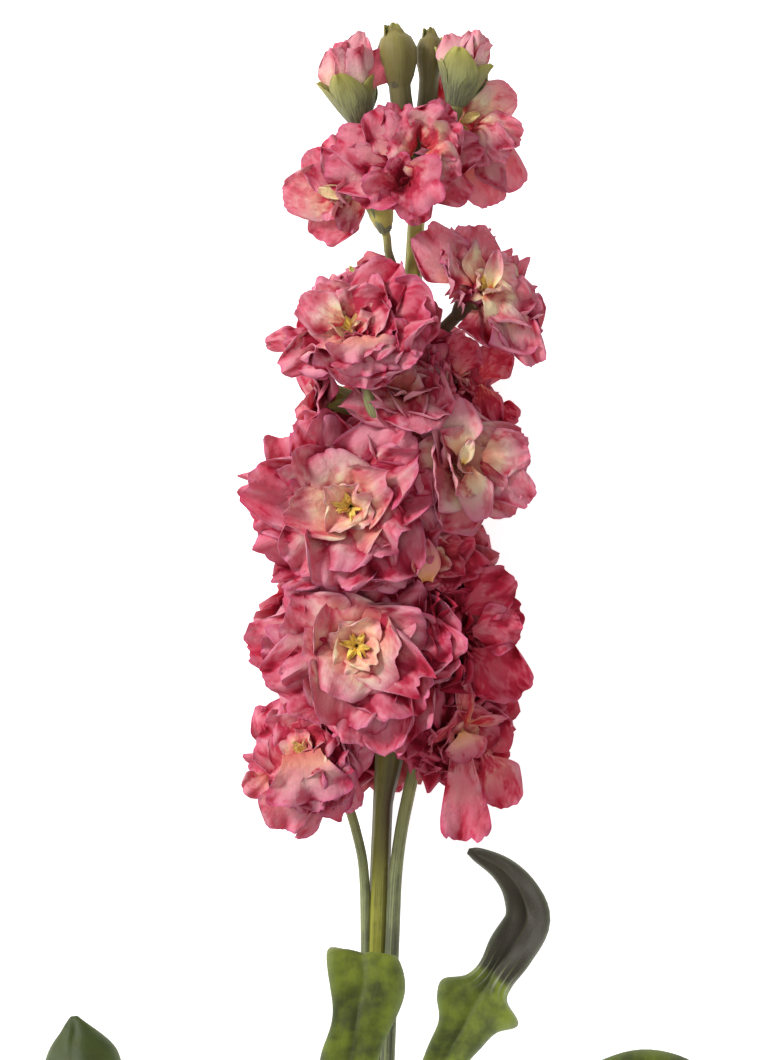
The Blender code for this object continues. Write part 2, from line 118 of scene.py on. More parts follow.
@dataclass(frozen=True)
class StemLine:
    """The stem's middle line and its radius along it, in millimetres, from its foot to its tip."""

    middles: tuple[Vector, ...]
    radii: tuple[float, ...]

    @classmethod
    def read(cls, node: bpy.types.Object, ring_gap: float = 4.0) -> "StemLine":
        """Reads the rings of the stem's CAD node.

        Args:
            node: The stem's node, a tube of rings along +Y.
            ring_gap: The least distance between one ring and the next.

        Returns:
            The line.
        """
        corners = {tuple(round(value / MM, 3) for value in vert.co) for vert in node.data.vertices}
        rings: list[list[Vector]] = []
        for corner in sorted((Vector(corner) for corner in corners), key=lambda point: point.y):
            if rings and corner.y - rings[-1][-1].y < ring_gap:
                rings[-1].append(corner)
            else:
                rings.append([corner])
        middles = [sum(ring, Vector()) / len(ring) for ring in rings]
        radii = [
            sum((corner - middle).length for corner in ring) / len(ring)
            for ring, middle in zip(rings, middles)
        ]
        return cls(tuple(middles), tuple(radii))

    @property
    def foot(self) -> Vector:
        """The middle of the cut foot."""
        return self.middles[0]

    def placed(self, *points: tuple[float, float, float]) -> list[Vector]:
        """Points measured from the foot, and up from the table, in the frame's millimetres."""
        return [Vector(point) + Vector((self.foot.x, self.foot.y, 0.0)) for point in points]

    @property
    def way(self) -> Vector:
        """The way the stem grows."""
        return (self.middles[-1] - self.middles[0]).normalized()

    def at(self, y: float) -> Vector:
        """The middle of the stem at a place along Y.

        Args:
            y: The place, in millimetres.

        Returns:
            The point, in millimetres.
        """
        for low, high in zip(self.middles, self.middles[1:]):
            if y <= high.y:
                break
        return low.lerp(high, (y - low.y) / (high.y - low.y))


def read_seat(node: bpy.types.Object, cup_length: float, stem: StemLine) -> Seat:
    """Reads a stalk's line from its CAD node.

    Args:
        node: The stalk's node, which ends in the flat mouth of its cup.
        cup_length: The cup's length in millimetres.
        stem: The stem's line.

    Returns:
        The stalk's seat, in millimetres.
    """
    mouth, facing = widest_end(node)
    points = [vert.co / MM for vert in node.data.vertices]
    far = max(points, key=lambda point: (point - mouth).length)
    return Seat(stem.at(far.y - STALK_DROP), mouth - facing * cup_length, mouth, facing)


# --- shapes that grow


class Outline(Enum):
    """A blade's outline: width at the claw, where it is widest, width at the tip, how far its shoulders
    fall short of the tip, and how far its corners do besides. Widths are shares of the greatest."""

    ROUND = (0.24, 0.58, 0.78, 0.13, 0.22)
    FAN = (0.18, 0.67, 0.82, 0.10, 0.26)
    SKIRT = (0.44, 0.96, 0.98, 0.05, 0.10)
    OVAL = (0.40, 0.50, 0.50, 0.12, 0.06)
    LANCE = (0.80, 0.36, 0.10, 0.04, 0.0)
    SEPAL = (0.60, 0.50, 0.34, 0.06, 0.0)

    def width(self, along: float) -> float:
        """The width at a share of the length, as a share of the greatest width.

        Args:
            along: The share of the length.

        Returns:
            The share of the width.
        """
        claw, widest, tip, _, _ = self.value
        if along < widest:
            return claw + (1 - claw) * smooth(along / widest)
        return tip + (1 - tip) * (1 - ((along - widest) / (1 - widest)) ** 2)

    def reach(self, across: float) -> float:
        """How far up the blade goes at a place across it, from -1 to 1."""
        return 1 - self.value[3] * across**2 - self.value[4] * across**6


def smooth(share: float) -> float:
    """Eases a share from 0 to 1."""
    share = min(max(share, 0.0), 1.0)
    return share * share * (3 - 2 * share)


@dataclass(frozen=True)
class PetalForm:
    """One petal's shape. Lengths are shares of its flower's radius, and angles are in degrees."""

    length: float
    half_width: float
    rise: float  # angle from the flower's axis where it leaves the cup
    lean: float  # the same at its margin
    roll: float  # how far each side curls up
    ruffle: float  # height of the waves at its margin
    waves: float = 1.9
    curl: float = 0.0  # extra lean of the last third
    crease: float = 0.0  # depth of the fold along its middle
    twist: float = 0.0
    sway: float = 0.0  # sideways bend, as a share of its length
    pale: float = 0.0  # from 0, where only its claw is cream, to 1; below 0 its claw is rose as well
    crumple: float = 0.030
    outline: Outline = Outline.ROUND

    def varied(self, chance: random.Random) -> "PetalForm":
        """The same petal as it might have grown beside its neighbours.

        Args:
            chance: The flower's source of random numbers.

        Returns:
            The new form.
        """
        return replace(
            self,
            length=self.length * chance.uniform(0.90, 1.08),
            half_width=self.half_width * chance.uniform(0.85, 1.15),
            rise=self.rise + chance.uniform(-8, 8),
            lean=self.lean + chance.uniform(-20, 14),
            roll=self.roll * chance.uniform(0.3, 1.8),
            ruffle=self.ruffle * chance.uniform(0.7, 1.5),
            waves=self.waves * chance.uniform(0.7, 1.3),
            curl=self.curl + chance.uniform(-38, 34),
            crease=self.crease + chance.uniform(-0.08, 0.12),
            twist=self.twist + chance.uniform(-18, 18),
            sway=self.sway + chance.uniform(-0.09, 0.09),
        )


def spokes_round(axis: Vector, right: Vector) -> Callable[[float], Vector]:
    """The ways round an axis, by their angle in radians from one that is square to it."""
    upward = axis.cross(right)
    return lambda angle: right * math.cos(angle) + upward * math.sin(angle)


@dataclass(frozen=True)
class Neighbour:
    """The middle and reach of a head of petals, in millimetres."""

    centre: Vector
    reach: float


@dataclass(frozen=True)
class Room:
    """What a flower presses against: its neighbours and the table."""

    centre: Vector
    reach: float
    neighbours: tuple[Neighbour, ...]
    give: float = 0.62  # how much of what crosses into a neighbour is pressed back
    rest: float = 0.2  # the height that petals come to rest at
    soft: float = 2.2  # the height below which they start to flatten

    def settle(self, point: Vector) -> Vector:
        """Presses a point back from the neighbours and the table.

        Args:
            point: The point as it would grow freely, in millimetres.

        Returns:
            Where it ends up.
        """
        for other in self.neighbours:
            apart = other.centre - self.centre
            distance = apart.length
            towards = apart / distance
            border = (distance**2 + self.reach**2 - other.reach**2) / (2 * distance)
            beyond = (point - self.centre).dot(towards) - border
            if beyond > 0:
                point = point - towards * beyond * self.give
        if point.z < self.soft:
            span = self.soft - self.rest
            point = point.copy()
            point.z = self.rest + span * math.exp((point.z - self.soft) / span)
        return point


EARLY_BEND = 2.6  # how early on its length a petal bends
CURL_FROM = 0.6  # the share of its length from where its end curls
HOLLOW_SHADE = 0.48  # how dark the painted shade in the troughs of a well ruffled petal is
# waves along a margin and pleats along a petal: height, how fine, phase for each seed, how near the edge
RUFFLES = ((1.0, 1.0, 1.0, 0.0), (0.40, 2.3, 1.7, 2.0), (0.16, 4.6, 2.9, 5.0))
PLEATS = ((0.30, 7.5, 2.3, 1.5), (0.16, 15.0, 3.1, 2.5))
CRUMPLES = ((1.0, 1.6), (0.45, 4.2))  # height and how fine
NOTCHES = ((0.06, 2.4, 0.0), (0.035, 6.5, 3.0))  # depth, how fine, and a place of its own in the noise


@dataclass(frozen=True)
class Petal:
    """A petal in its place: its form, the flower's axis, and the side of the axis that it grows on."""

    form: PetalForm
    root: Vector
    axis: Vector
    outward: Vector
    radius: float
    seed: float
    thickness: float = 0.16
    fineness: float = 1.0
    veil: float = 0.0  # painted shade besides that of its own flower

    @property
    def columns(self) -> int:
        """How many strips it has across: more on a wide petal."""
        return round(self.fineness * (8 + 1.6 * self.form.half_width * self.radius))

    @property
    def rows(self) -> int:
        """How many strips it has along: more on a long petal."""
        return round(self.fineness * (8 + 0.6 * self.form.length * self.radius))

    def midline(self, steps: int = 24) -> list[tuple[float, float, float]]:
        """(out, up, lean in radians) at even steps along the petal's middle.

        Args:
            steps: How many steps there are.

        Returns:
            The values at each step, from the claw on.
        """
        form = self.form
        stride = form.length * self.radius / steps
        out = up = 0.0
        line = []
        for step in range(steps + 1):
            along = step / steps
            bend = (1 - math.exp(-EARLY_BEND * along)) / (1 - math.exp(-EARLY_BEND))
            late = smooth((along - CURL_FROM) / (1 - CURL_FROM))
            lean = math.radians(form.rise + (form.lean - form.rise) * bend + form.curl * late)
            line.append((out, up, lean))
            out += stride * math.sin(lean)
            up += stride * math.cos(lean)
        return line

    def margin(self, across: float, along: float) -> float:
        """How near a point is to the petal's free edge, from 0 to 1."""
        return 1 - (1 - along**3) * (1 - abs(across) ** 3 * smooth(along * 2))

    def waves(self, across: float, along: float) -> float:
        """The height of the ruffles and crumples at a point of the petal.

        Args:
            across: The place across the petal, from -1 to 1.
            along: The place along it, from 0 to 1.

        Returns:
            The height, in millimetres.
        """
        form = self.form
        edge = self.margin(across, along)
        round_edge = math.atan2(across * 0.9, (along - 0.28) * 1.3) / math.pi
        wave = sum(
            height * math.sin(math.tau * finer * form.waves * round_edge + phase * self.seed) * edge**nearer
            for height, finer, phase, nearer in RUFFLES
        )
        pleat = form.ruffle * sum(
            height * math.sin(count * across + phase * self.seed) * along**nearer
            for height, count, phase, nearer in PLEATS
        )
        here = Vector((across * 1.3, along * 1.7, self.seed))
        crumple = sum(height * noise.noise(here * finer) for height, finer in CRUMPLES)
        fold = -form.crease * math.exp(-((across / 0.28) ** 2)) * along
        return (
            form.ruffle * wave * edge**1.4 + form.crumple * crumple * (0.35 + edge) * 1.6 + pleat + fold
        ) * self.radius

    def place(self, across: float, along: float, line: list) -> Vector:
        """Where a point of the petal is before it meets its neighbours, in millimetres.

        Args:
            across: The place across the petal, from -1 to 1.
            along: The place along it, from 0 to 1.
            line: The middle of the petal, as midline gives it.

        Returns:
            The point.
        """
        form = self.form
        notch = sum(
            depth * noise.noise(Vector((across * finer, self.seed, apart))) for depth, finer, apart in NOTCHES
        )
        reach = along * form.outline.reach(across) * (1 + notch * along)
        step = min(reach, 1.0) * (len(line) - 1)
        low = min(int(step), len(line) - 2)
        share = step - low
        out, up, lean = (a + (b - a) * share for a, b in zip(line[low], line[low + 1]))
        width = form.half_width * form.outline.width(along) * self.radius
        roll = max(math.radians(form.roll) * (1.15 - 0.5 * along), 0.02)
        side = width * math.sin(roll * across) / roll
        lift = width * (1 - math.cos(roll * across)) / roll
        lift += side * math.tan(math.radians(form.twist)) * along + self.waves(across, along)
        side += form.sway * form.length * self.radius * along**2
        sideways = self.outward.cross(self.axis)
        normal = self.axis * math.sin(lean) - self.outward * math.cos(lean)
        return self.root + self.outward * out + self.axis * up + sideways * side + normal * lift

    def grow(self, bm: bmesh.types.BMesh, room: Room | None) -> None:
        """Adds the petal to a mesh as a thin closed blade.

        Args:
            bm: The flower's mesh.
            room: What the petal presses against, if anything.
        """
        surface = bm.verts.layers.float_vector[SURFACE]
        kind = bm.verts.layers.float_vector[KIND]
        shade = bm.verts.layers.float[SHADE]
        grid = bmesh.ops.create_grid(bm, x_segments=self.columns, y_segments=self.rows, size=1.0)
        line = self.midline()
        depth = (self.form.ruffle + self.form.crumple) * self.radius
        hollow = HOLLOW_SHADE * min(0.2 + 7.5 * self.form.ruffle, 1.0)
        tint = 0.5 + 0.5 * math.sin(self.seed * 12.9)
        for vert in grid["verts"]:
            across, along = vert.co.x, (vert.co.y + 1) / 2
            point = self.place(across, along, line)
            if room:
                point = room.settle(point)
            vert.co = point * MM
            vert[surface] = Vector(((across + 1) / 2, max(along, -self.form.pale), tint))
            vert[kind] = Vector((max(self.form.pale, 0.0), 0.0, self.margin(across, along)))
            # painted shade: the florets round it, and darker troughs between its ruffles
            vert[shade] = self.veil + hollow * smooth(-0.95 * self.waves(across, along) / depth)
        thicken(bm, grid["verts"], self.thickness)


def thicken(bm: bmesh.types.BMesh, verts: list, thickness: float) -> None:
    """Turns a sheet into a closed blade, and marks its lower side as its underside.

    Args:
        bm: The mesh that the sheet is in.
        verts: The sheet's vertices.
        thickness: Its thickness in millimetres.
    """
    kind = bm.verts.layers.float_vector[KIND]
    faces = list({face for vert in verts for face in vert.link_faces})
    for face in faces:
        face.normal_update()
    for vert in verts:
        vert.normal_update()
    raised = bmesh.ops.extrude_face_region(bm, geom=faces, use_keep_orig=True)["geom"]
    for item in raised:
        if isinstance(item, bmesh.types.BMVert):
            item.normal_update()
            item.co += item.normal * thickness * (1 - 0.6 * item[kind].z) * MM
    bmesh.ops.reverse_faces(bm, faces=faces)
    for vert in verts:
        paleness, _, margin = vert[kind]
        vert[kind] = Vector((paleness, 1.0, margin))


def frames_along(line: list[Vector], side: Vector) -> list[tuple[Vector, Vector]]:
    """Two ways square to a line and to each other at each of its points, turning as little as they can.

    Args:
        line: The points.
        side: The first of the two ways, before it is squared up.

    Returns:
        A pair for each point.
    """
    frames = []
    for before, after in zip([line[0], *line], [*line[1:], line[-1]]):
        ahead = (after - before).normalized()
        side = (side - ahead * side.dot(ahead)).normalized()
        frames.append((side, ahead.cross(side)))
    return frames


def new_mesh() -> bmesh.types.BMesh:
    """An empty mesh with the layers that the finishes read.

    Returns:
        The mesh.
    """
    bm = bmesh.new()
    bm.verts.layers.float_vector.new(SURFACE)
    bm.verts.layers.float_vector.new(KIND)
    bm.verts.layers.float.new(SHADE)
    return bm


FACING_PULL = 0.7  # how strongly the sky that counts lies towards the flower's facing
SKY_SPREAD = 0.8  # how far apart the rays look
CLEARANCE = 0.5  # how far in front of its petal a ray starts, in millimetres
FAR_LOSS = 0.6  # how much less a petal at full reach hides than one close by


def shade_hidden(
    bm: bmesh.types.BMesh, heart: Vector, sky: Vector, veil: float = 0.0, reach: float = 7.0
) -> None:
    """Records, as painted shade, how much of the sky the flower's own petals hide from each point.

    Args:
        bm: The flower's mesh.
        heart: The middle of the flower, in millimetres.
        sky: The way that the flower looks.
        veil: How much painted shade the florets round it add besides.
        reach: How far off a petal still hides the sky, in millimetres.
    """
    shade = bm.verts.layers.float[SHADE]
    tree = BVHTree.FromBMesh(bm)
    spoke = spokes_round(sky, sky.orthogonal().normalized())
    spokes = [Vector((0.0, 0.0, 0.0)), *(spoke(turn) for turn in (0.3, 1.56, 2.81, 4.07, 5.33))]
    for vert in bm.verts:
        outward = (vert.co - heart * MM).normalized()
        centre = (outward + sky * FACING_PULL).normalized()
        hidden = 0.0
        for aside in spokes:
            way = (centre + aside * SKY_SPREAD).normalized()
            struck = tree.ray_cast(vert.co + way * CLEARANCE * MM, way, reach * MM)
            if struck[0] is not None:
                hidden += 1 - FAR_LOSS * struck[3] / (reach * MM)
        vert[shade] += hidden / len(spokes) + veil


def tube(
    bm: bmesh.types.BMesh, line: list[Vector], radii: list[float], sides: int = 12,
    ribs: int = 0, rib_depth: float = 0.0,
) -> None:
    """Adds a closed tube: a grid wrapped round a line, joined at its seam and filled at its ends.

    Args:
        bm: The mesh to add it to.
        line: The points that it passes, in millimetres.
        radii: Its radius at each.
        sides: How many sides it has.
        ribs: How many ridges run along it.
        rib_depth: Their height, as a share of the radius.
    """
    surface = bm.verts.layers.float_vector[SURFACE]
    kind = bm.verts.layers.float_vector[KIND]
    rings = len(line) - 1
    frames = frames_along(line, Vector((0.0, 0.2, -1.0)))
    grid = bmesh.ops.create_grid(bm, x_segments=sides, y_segments=rings, size=1.0)["verts"]
    seam = [vert for vert in grid if abs(vert.co.x) > 0.999]
    faces = {face for vert in grid for face in vert.link_faces}
    for vert in grid:
        across, along = (vert.co.x + 1) / 2, (vert.co.y + 1) / 2
        ring = round(along * rings)
        side, other = frames[ring]
        angle = math.tau * across
        rib = 1 + rib_depth * math.cos(ribs * angle)
        spoke = side * math.cos(angle) + other * math.sin(angle)
        vert.co = (line[ring] + spoke * radii[ring] * rib) * MM
        vert[surface] = Vector((across, along, 0.0))
        vert[kind] = Vector((0.0, 0.0, 0.0))
    bmesh.ops.remove_doubles(bm, verts=seam, dist=1e-7)
    rims = [edge for face in faces for edge in face.edges if len(edge.link_faces) == 1]
    caps = bmesh.ops.holes_fill(bm, edges=list(set(rims)), sides=0)["faces"]
    bmesh.ops.recalc_face_normals(bm, faces=[*faces, *caps])


def add_object(name: str, data: bpy.types.ID) -> bpy.types.Object:
    """Puts a new object in the scene.

    Args:
        name: Its name.
        data: What it shows or holds, such as a mesh or a lamp.

    Returns:
        The object.
    """
    added = bpy.data.objects.new(name, data)
    bpy.context.scene.collection.objects.link(added)
    return added


def finished_piece(name: str, bm: bmesh.types.BMesh, material: bpy.types.Material) -> bpy.types.Object:
    """Turns a mesh into a smooth-shaded object at the origin.

    Args:
        name: The piece's name.
        bm: Its mesh, which is freed.
        material: Its finish.

    Returns:
        The new object.
    """
    mesh = bpy.data.meshes.new(name)
    bm.to_mesh(mesh)
    bm.free()
    mesh.materials.append(material)
    mesh.shade_smooth()
    mesh.set_sharp_from_angle(angle=math.radians(SHARP_ANGLE))
    return add_object(name, mesh)


# --- finishes


def reckoning(operation: str) -> Callable:
    """A method that joins a value and others by one operation of a Math node.

    Args:
        operation: The node's operation.

    Returns:
        The method.
    """

    def result(self: "Value", *others: "Value | float") -> "Value":
        """The outcome of the operation."""
        return self.graph.math(operation, self, *others)

    return result


class Value:
    """A number or a colour in a node graph, which is reckoned with as a plain number is."""

    __add__ = reckoning("ADD")
    __sub__ = reckoning("SUBTRACT")
    __mul__ = reckoning("MULTIPLY")
    __pow__ = reckoning("POWER")
    __abs__ = reckoning("ABSOLUTE")
    fraction = reckoning("FRACT")
    at_least = reckoning("MAXIMUM")
    at_most = reckoning("MINIMUM")

    def __init__(self, graph: "Graph", socket: bpy.types.NodeSocket) -> None:
        """Takes the graph and the socket that the value comes out of."""
        self.graph = graph
        self.socket = socket

    def __rsub__(self, other: float) -> "Value":
        """A plain number less this value."""
        return self.graph.math("SUBTRACT", other, self)


class Graph:
    """The nodes of a material or a group, added and joined in short lines."""

    def __init__(self, tree: bpy.types.NodeTree) -> None:
        """Takes the node tree to build in."""
        self.tree = tree

    def feed(self, node: bpy.types.Node, inputs: dict) -> None:
        """Sets a node's inputs, by name or number, to plain values or to values of the graph.

        Args:
            node: The node.
            inputs: The values, each by its input's name or number.
        """
        for name, value in inputs.items():
            socket = node.inputs[name]
            if isinstance(value, Value):
                self.tree.links.new(value.socket, socket)
            else:
                socket.default_value = (*value, 1.0) if socket.type == "RGBA" else value

    def add(
        self, kind: str, inputs: dict | None = None, output: int | str = 0, **settings: object
    ) -> Value:
        """Adds a node.

        Args:
            kind: The node's type.
            inputs: Its inputs.
            output: Which of its outputs is wanted.
            settings: Its properties.

        Returns:
            What comes out of it.
        """
        node = self.tree.nodes.new(kind)
        for name, value in settings.items():
            setattr(node, name, value)
        self.feed(node, inputs or {})
        return Value(self, node.outputs[output])

    def math(self, operation: str, *values: Value | float) -> Value:
        """The result of a Math node on one or two values."""
        return self.add("ShaderNodeMath", dict(enumerate(values)), operation=operation)

    def vector(self, x: Value, y: Value, z: Value | float = 0.0) -> Value:
        """Three numbers as one vector."""
        return self.add("ShaderNodeCombineXYZ", {0: x, 1: y, 2: z})

    def mix(
        self, factor: Value | float, first: Value | Colour, second: Value | Colour, blend: str = "MIX"
    ) -> Value:
        """The colour between two colours."""
        inputs = {0: factor, 6: first, 7: second}
        return self.add("ShaderNodeMix", inputs, 2, data_type="RGBA", blend_type=blend)

    def noise(self, place: Value, scale: Value | float, detail: float, roughness: float = 0.55) -> Value:
        """The value of a Noise texture."""
        inputs = {"Vector": place, "Scale": scale, "Detail": detail, "Roughness": roughness}
        return self.add("ShaderNodeTexNoise", inputs)

    def ramp(self, factor: Value, stops: dict[float, Colour]) -> Value:
        """The colour at a factor between stops, given as place: colour.

        Args:
            factor: The place to look up.
            stops: The colour at each place, in order.

        Returns:
            The colour.
        """
        colour = self.add("ShaderNodeValToRGB", {"Fac": factor})
        elements = colour.socket.node.color_ramp.elements
        while len(elements) < len(stops):
            elements.new(1.0)
        for element, place in zip(elements, stops):
            element.position = place
            element.color = (*stops[place], 1.0)
        return colour

    def attribute(self, name: str) -> list[Value]:
        """The three numbers of a mesh attribute.

        Args:
            name: The attribute's name.

        Returns:
            Its numbers.
        """
        read = self.add("ShaderNodeAttribute", output="Vector", attribute_name=name)
        first = self.add("ShaderNodeSeparateXYZ", {0: read})
        return [Value(self, socket) for socket in first.socket.node.outputs]

    def group(self, shared: bpy.types.NodeTree, **inputs: Value | float) -> list[Value]:
        """All that comes out of a node group with its own inputs."""
        first = self.add("ShaderNodeGroup", inputs, node_tree=shared)
        return [Value(self, socket) for socket in first.socket.node.outputs]


def new_group(
    name: str, inputs: dict[str, float], outputs: tuple[str, ...]
) -> tuple[Graph, list[Value], bpy.types.Node]:
    """Starts a shader node group of plain numbers.

    Args:
        name: The group's name.
        inputs: Its inputs and their usual values.
        outputs: Its outputs.

    Returns:
        Its graph, the values of its inputs, and its output node.
    """
    tree = bpy.data.node_groups.new(name, "ShaderNodeTree")
    for label, value in inputs.items():
        tree.interface.new_socket(label, in_out="INPUT", socket_type="NodeSocketFloat").default_value = value
    for label in outputs:
        tree.interface.new_socket(label, in_out="OUTPUT", socket_type="NodeSocketFloat")
    graph = Graph(tree)
    first = graph.add("NodeGroupInput")
    given = [Value(graph, socket) for socket in first.socket.node.outputs if socket.name]
    return graph, given, tree.nodes.new("NodeGroupOutput")


def vein_group() -> bpy.types.NodeTree:
    """Fine veins that fan out from a blade's base towards its margin, wandering a little.

    Returns:
        The node group, which is built only once.
    """
    found = bpy.data.node_groups.get("veins")
    if found:
        return found
    inputs = {"Across": 0.5, "Along": 0.5, "Count": 16.0, "Wander": 0.06}
    graph, (across, along, count, wander), out = new_group("veins", inputs, ("Vein",))
    drift = graph.noise(graph.vector(across, along, count), 7.0, 4.0) - 0.5
    fan = (drift * wander + across) * count
    line = abs(fan.fraction() - 0.5)
    graph.feed(out, {"Vein": (1.0 - line * 2.0) ** 5.0})
    return graph.tree


def mottle_group() -> bpy.types.NodeTree:
    """Soft blotches and a fine grain over living tissue, about 0.5.

    Returns:
        The node group, which is built only once.
    """
    found = bpy.data.node_groups.get("mottle")
    if found:
        return found
    graph, sizes, out = new_group("mottle", {"Coarse": 200.0, "Fine": 2500.0}, ("Blotch", "Grain"))
    place = graph.add("ShaderNodeTexCoord", output="Object")
    graph.feed(out, {number: graph.noise(place, size, 3.0, 0.6) for number, size in enumerate(sizes)})
    return graph.tree


@dataclass(frozen=True)
class Finish:
    """What petals and green tissue share: their name, roughness and bumps, and the light in them."""

    name: str
    roughness: float
    sheen: float
    gloss: float
    glow: float  # the share of light that soaks through
    glow_reach: Colour  # how far each of its colours soaks, in glow_depths
    bump_depth: float
    glow_depth: float = 0.0012
    bump_strength: float = 0.5
    sheen_roughness: float = 0.5

    def pattern(self, graph: Graph) -> tuple[Value, Value]:
        """The colour and the height, which each kind of finish works out for itself."""
        raise NotImplementedError

    def make(self) -> bpy.types.Material:
        """Builds the material.

        Returns:
            The finished material.
        """
        material = bpy.data.materials.new(self.name)
        material.use_nodes = True
        graph = Graph(material.node_tree)
        face, relief = self.pattern(graph)
        bumps = {"Height": relief, "Strength": self.bump_strength, "Distance": self.bump_depth}
        graph.feed(graph.tree.nodes["Principled BSDF"], {
            "Base Color": face, "Normal": graph.add("ShaderNodeBump", bumps), "Roughness": self.roughness,
            "Sheen Weight": self.sheen, "Sheen Roughness": self.sheen_roughness,
            "Specular IOR Level": self.gloss, "Subsurface Weight": self.glow,
            "Subsurface Radius": self.glow_reach, "Subsurface Scale": self.glow_depth,
        })
        return material


@dataclass(frozen=True)
class PetalFinish(Finish):
    """A velvety petal: cream at its claw, then blush, rose and a deeper margin, darkened by painted shade
    where the flower hides it.
    """

    name: str = "petal"
    throat: Colour = (0.86, 0.66, 0.13)
    cream: Colour = (0.80, 0.60, 0.375)
    blush: Colour = (0.68, 0.39, 0.35)
    rose: Colour = (0.60, 0.212, 0.258)
    # painted shade: the petal's colour is multiplied by these where the flower hides it, a little, more and
    # most
    veiled: Colour = (0.90, 0.54, 0.64)  # painted shade where the flower hides it a little
    deep: Colour = (0.64, 0.075, 0.18)  # painted shade where it hides it more
    darkest: Colour = (0.31, 0.012, 0.045)
    rim: Colour = (0.52, 0.08, 0.20)
    back: Colour = (0.72, 0.33, 0.36)
    roughness: float = 0.62
    sheen: float = 0.03
    sheen_roughness: float = 0.4
    gloss: float = 0.12
    glow: float = 0.2
    glow_reach: Colour = (1.0, 0.32, 0.28)
    bump_depth: float = 0.0004

    def pattern(self, graph: Graph) -> tuple[Value, Value]:
        """The petal's colour and relief, in the material's graph.

        Args:
            graph: The material's graph.

        Returns:
            The colour and the height.
        """
        across, along, tint = graph.attribute(SURFACE)
        pale, underside, margin = graph.attribute(KIND)
        blotch, grain = graph.group(mottle_group(), Coarse=190.0, Fine=900.0)
        (vein,) = graph.group(vein_group(), Across=across, Along=along, Count=19.0)
        blotch = blotch - 0.5
        ripe = (tint - 0.5) * 0.16 + (pale * -0.62 + (blotch * 0.55 + along))
        face = graph.ramp(
            ripe, {0.0: self.cream, 0.14: self.cream, 0.36: self.blush, 0.66: self.rose, 1.0: self.rose}
        )
        claw = (1.0 - along * 3.2) * (pale * 1.4).at_most(1.0)
        claw = claw.at_least((pale - 1.0) * 2.0).at_most(1.0)
        face = graph.mix(claw.at_least(0.0), face, self.throat)
        edge = (margin**7.0) * (0.9 - pale * 0.8)
        face = graph.mix(edge.at_least(0.0), face, self.rim)
        face = graph.mix(vein * 0.035, face, self.rim)
        face = graph.mix(underside * 0.5, face, self.back)
        # painted shade: darker near the claws deep in the flower, and wherever SHADE says it is hidden; pale
        # petals take less of it
        sunk_shade = (1.0 - along * 1.35 - pale * 2.0).at_least(0.0).at_most(1.0) * 0.55
        open_eye = 1.0 - (pale**2.0).at_most(1.4) * 0.65
        hidden = graph.add("ShaderNodeAttribute", output="Fac", attribute_name=SHADE) * open_eye
        shade = graph.ramp(
            hidden.at_least(sunk_shade), {0.0: WHITE, 0.25: self.veiled, 0.6: self.deep, 0.95: self.darkest}
        )
        face = graph.mix(1.0, face, shade, "MULTIPLY")
        light = blotch * 0.45 + 1.0
        face = graph.mix(1.0, face, graph.vector(light, light, light), "MULTIPLY")
        return face, grain * 1.6 + vein * 0.12


@dataclass(frozen=True)
class GreenFinish(Finish):
    """Downy green tissue of a stem, a calyx, a bud or a leaf."""

    face: Colour = WHITE
    shade: Colour = WHITE
    flush: Colour = WHITE  # the colour that it turns towards its tip
    flush_share: float = 0.8
    back: Colour = WHITE
    back_share: float = 0.0  # how much its back differs from its face
    vein: Colour = WHITE
    vein_count: float = 14.0
    vein_share: float = 0.25
    turn_veins: float = 0.0  # how much more its veins show where it turns over
    midrib: float = 0.0  # how strongly one pale rib runs along the middle
    tinge_and_shade: Colour = (0.065, 0.035, 0.02)  # the purple-brown it darkens to: partly a stalk's own tinge, partly painted shade
    down: Colour = (0.62, 0.64, 0.55)
    bloom: float = 0.15  # how thick the down is
    streak: float = 0.0  # how strongly it is streaked along its length
    # painted highlight: a pale line along the margin
    rim_highlight: float = 0.0
    roughness: float = 0.55
    sheen: float = 0.02
    gloss: float = 0.22
    glow: float = 0.12
    glow_reach: Colour = (0.6, 1.0, 0.3)
    bump_depth: float = 0.0003

    def pattern(self, graph: Graph) -> tuple[Value, Value]:
        """The tissue's colour and relief, in the material's graph.

        Args:
            graph: The material's graph.

        Returns:
            The colour and the height.
        """
        across, along, darkening = graph.attribute(SURFACE)
        turn, underside, margin = graph.attribute(KIND)
        blotch, grain = graph.group(mottle_group(), Coarse=150.0, Fine=2600.0)
        (vein,) = graph.group(vein_group(), Across=across, Along=along, Count=self.vein_count)
        streak = graph.noise(graph.vector(across * 26.0, along * 3.0), 1.0, 2.0)
        tone = (streak - 0.5) * (2.2 * self.streak) + blotch
        face = graph.ramp(tone, {0.38: self.shade, 0.60: self.face})
        face = graph.mix((along**2.4) * self.flush_share, face, self.flush)
        rib = (1.0 - abs(across - 0.5) * 16.0).at_least(0.0) * self.midrib
        lines = (vein * (turn * self.turn_veins + self.vein_share)).at_least(rib)
        face = graph.mix(lines, face, self.vein)
        face = graph.mix(grain * self.bloom, face, self.down)
        # partly its own tinge, partly painted shade, by the share in the third number of SURFACE
        face = graph.mix(darkening, face, self.tinge_and_shade)
        face = graph.mix((underside - lines) * self.back_share, face, self.back)
        # painted highlight along the margin
        face = graph.mix((margin**3.0) * self.rim_highlight, face, self.vein)
        return face, streak * self.streak + (grain * 0.5 + lines)


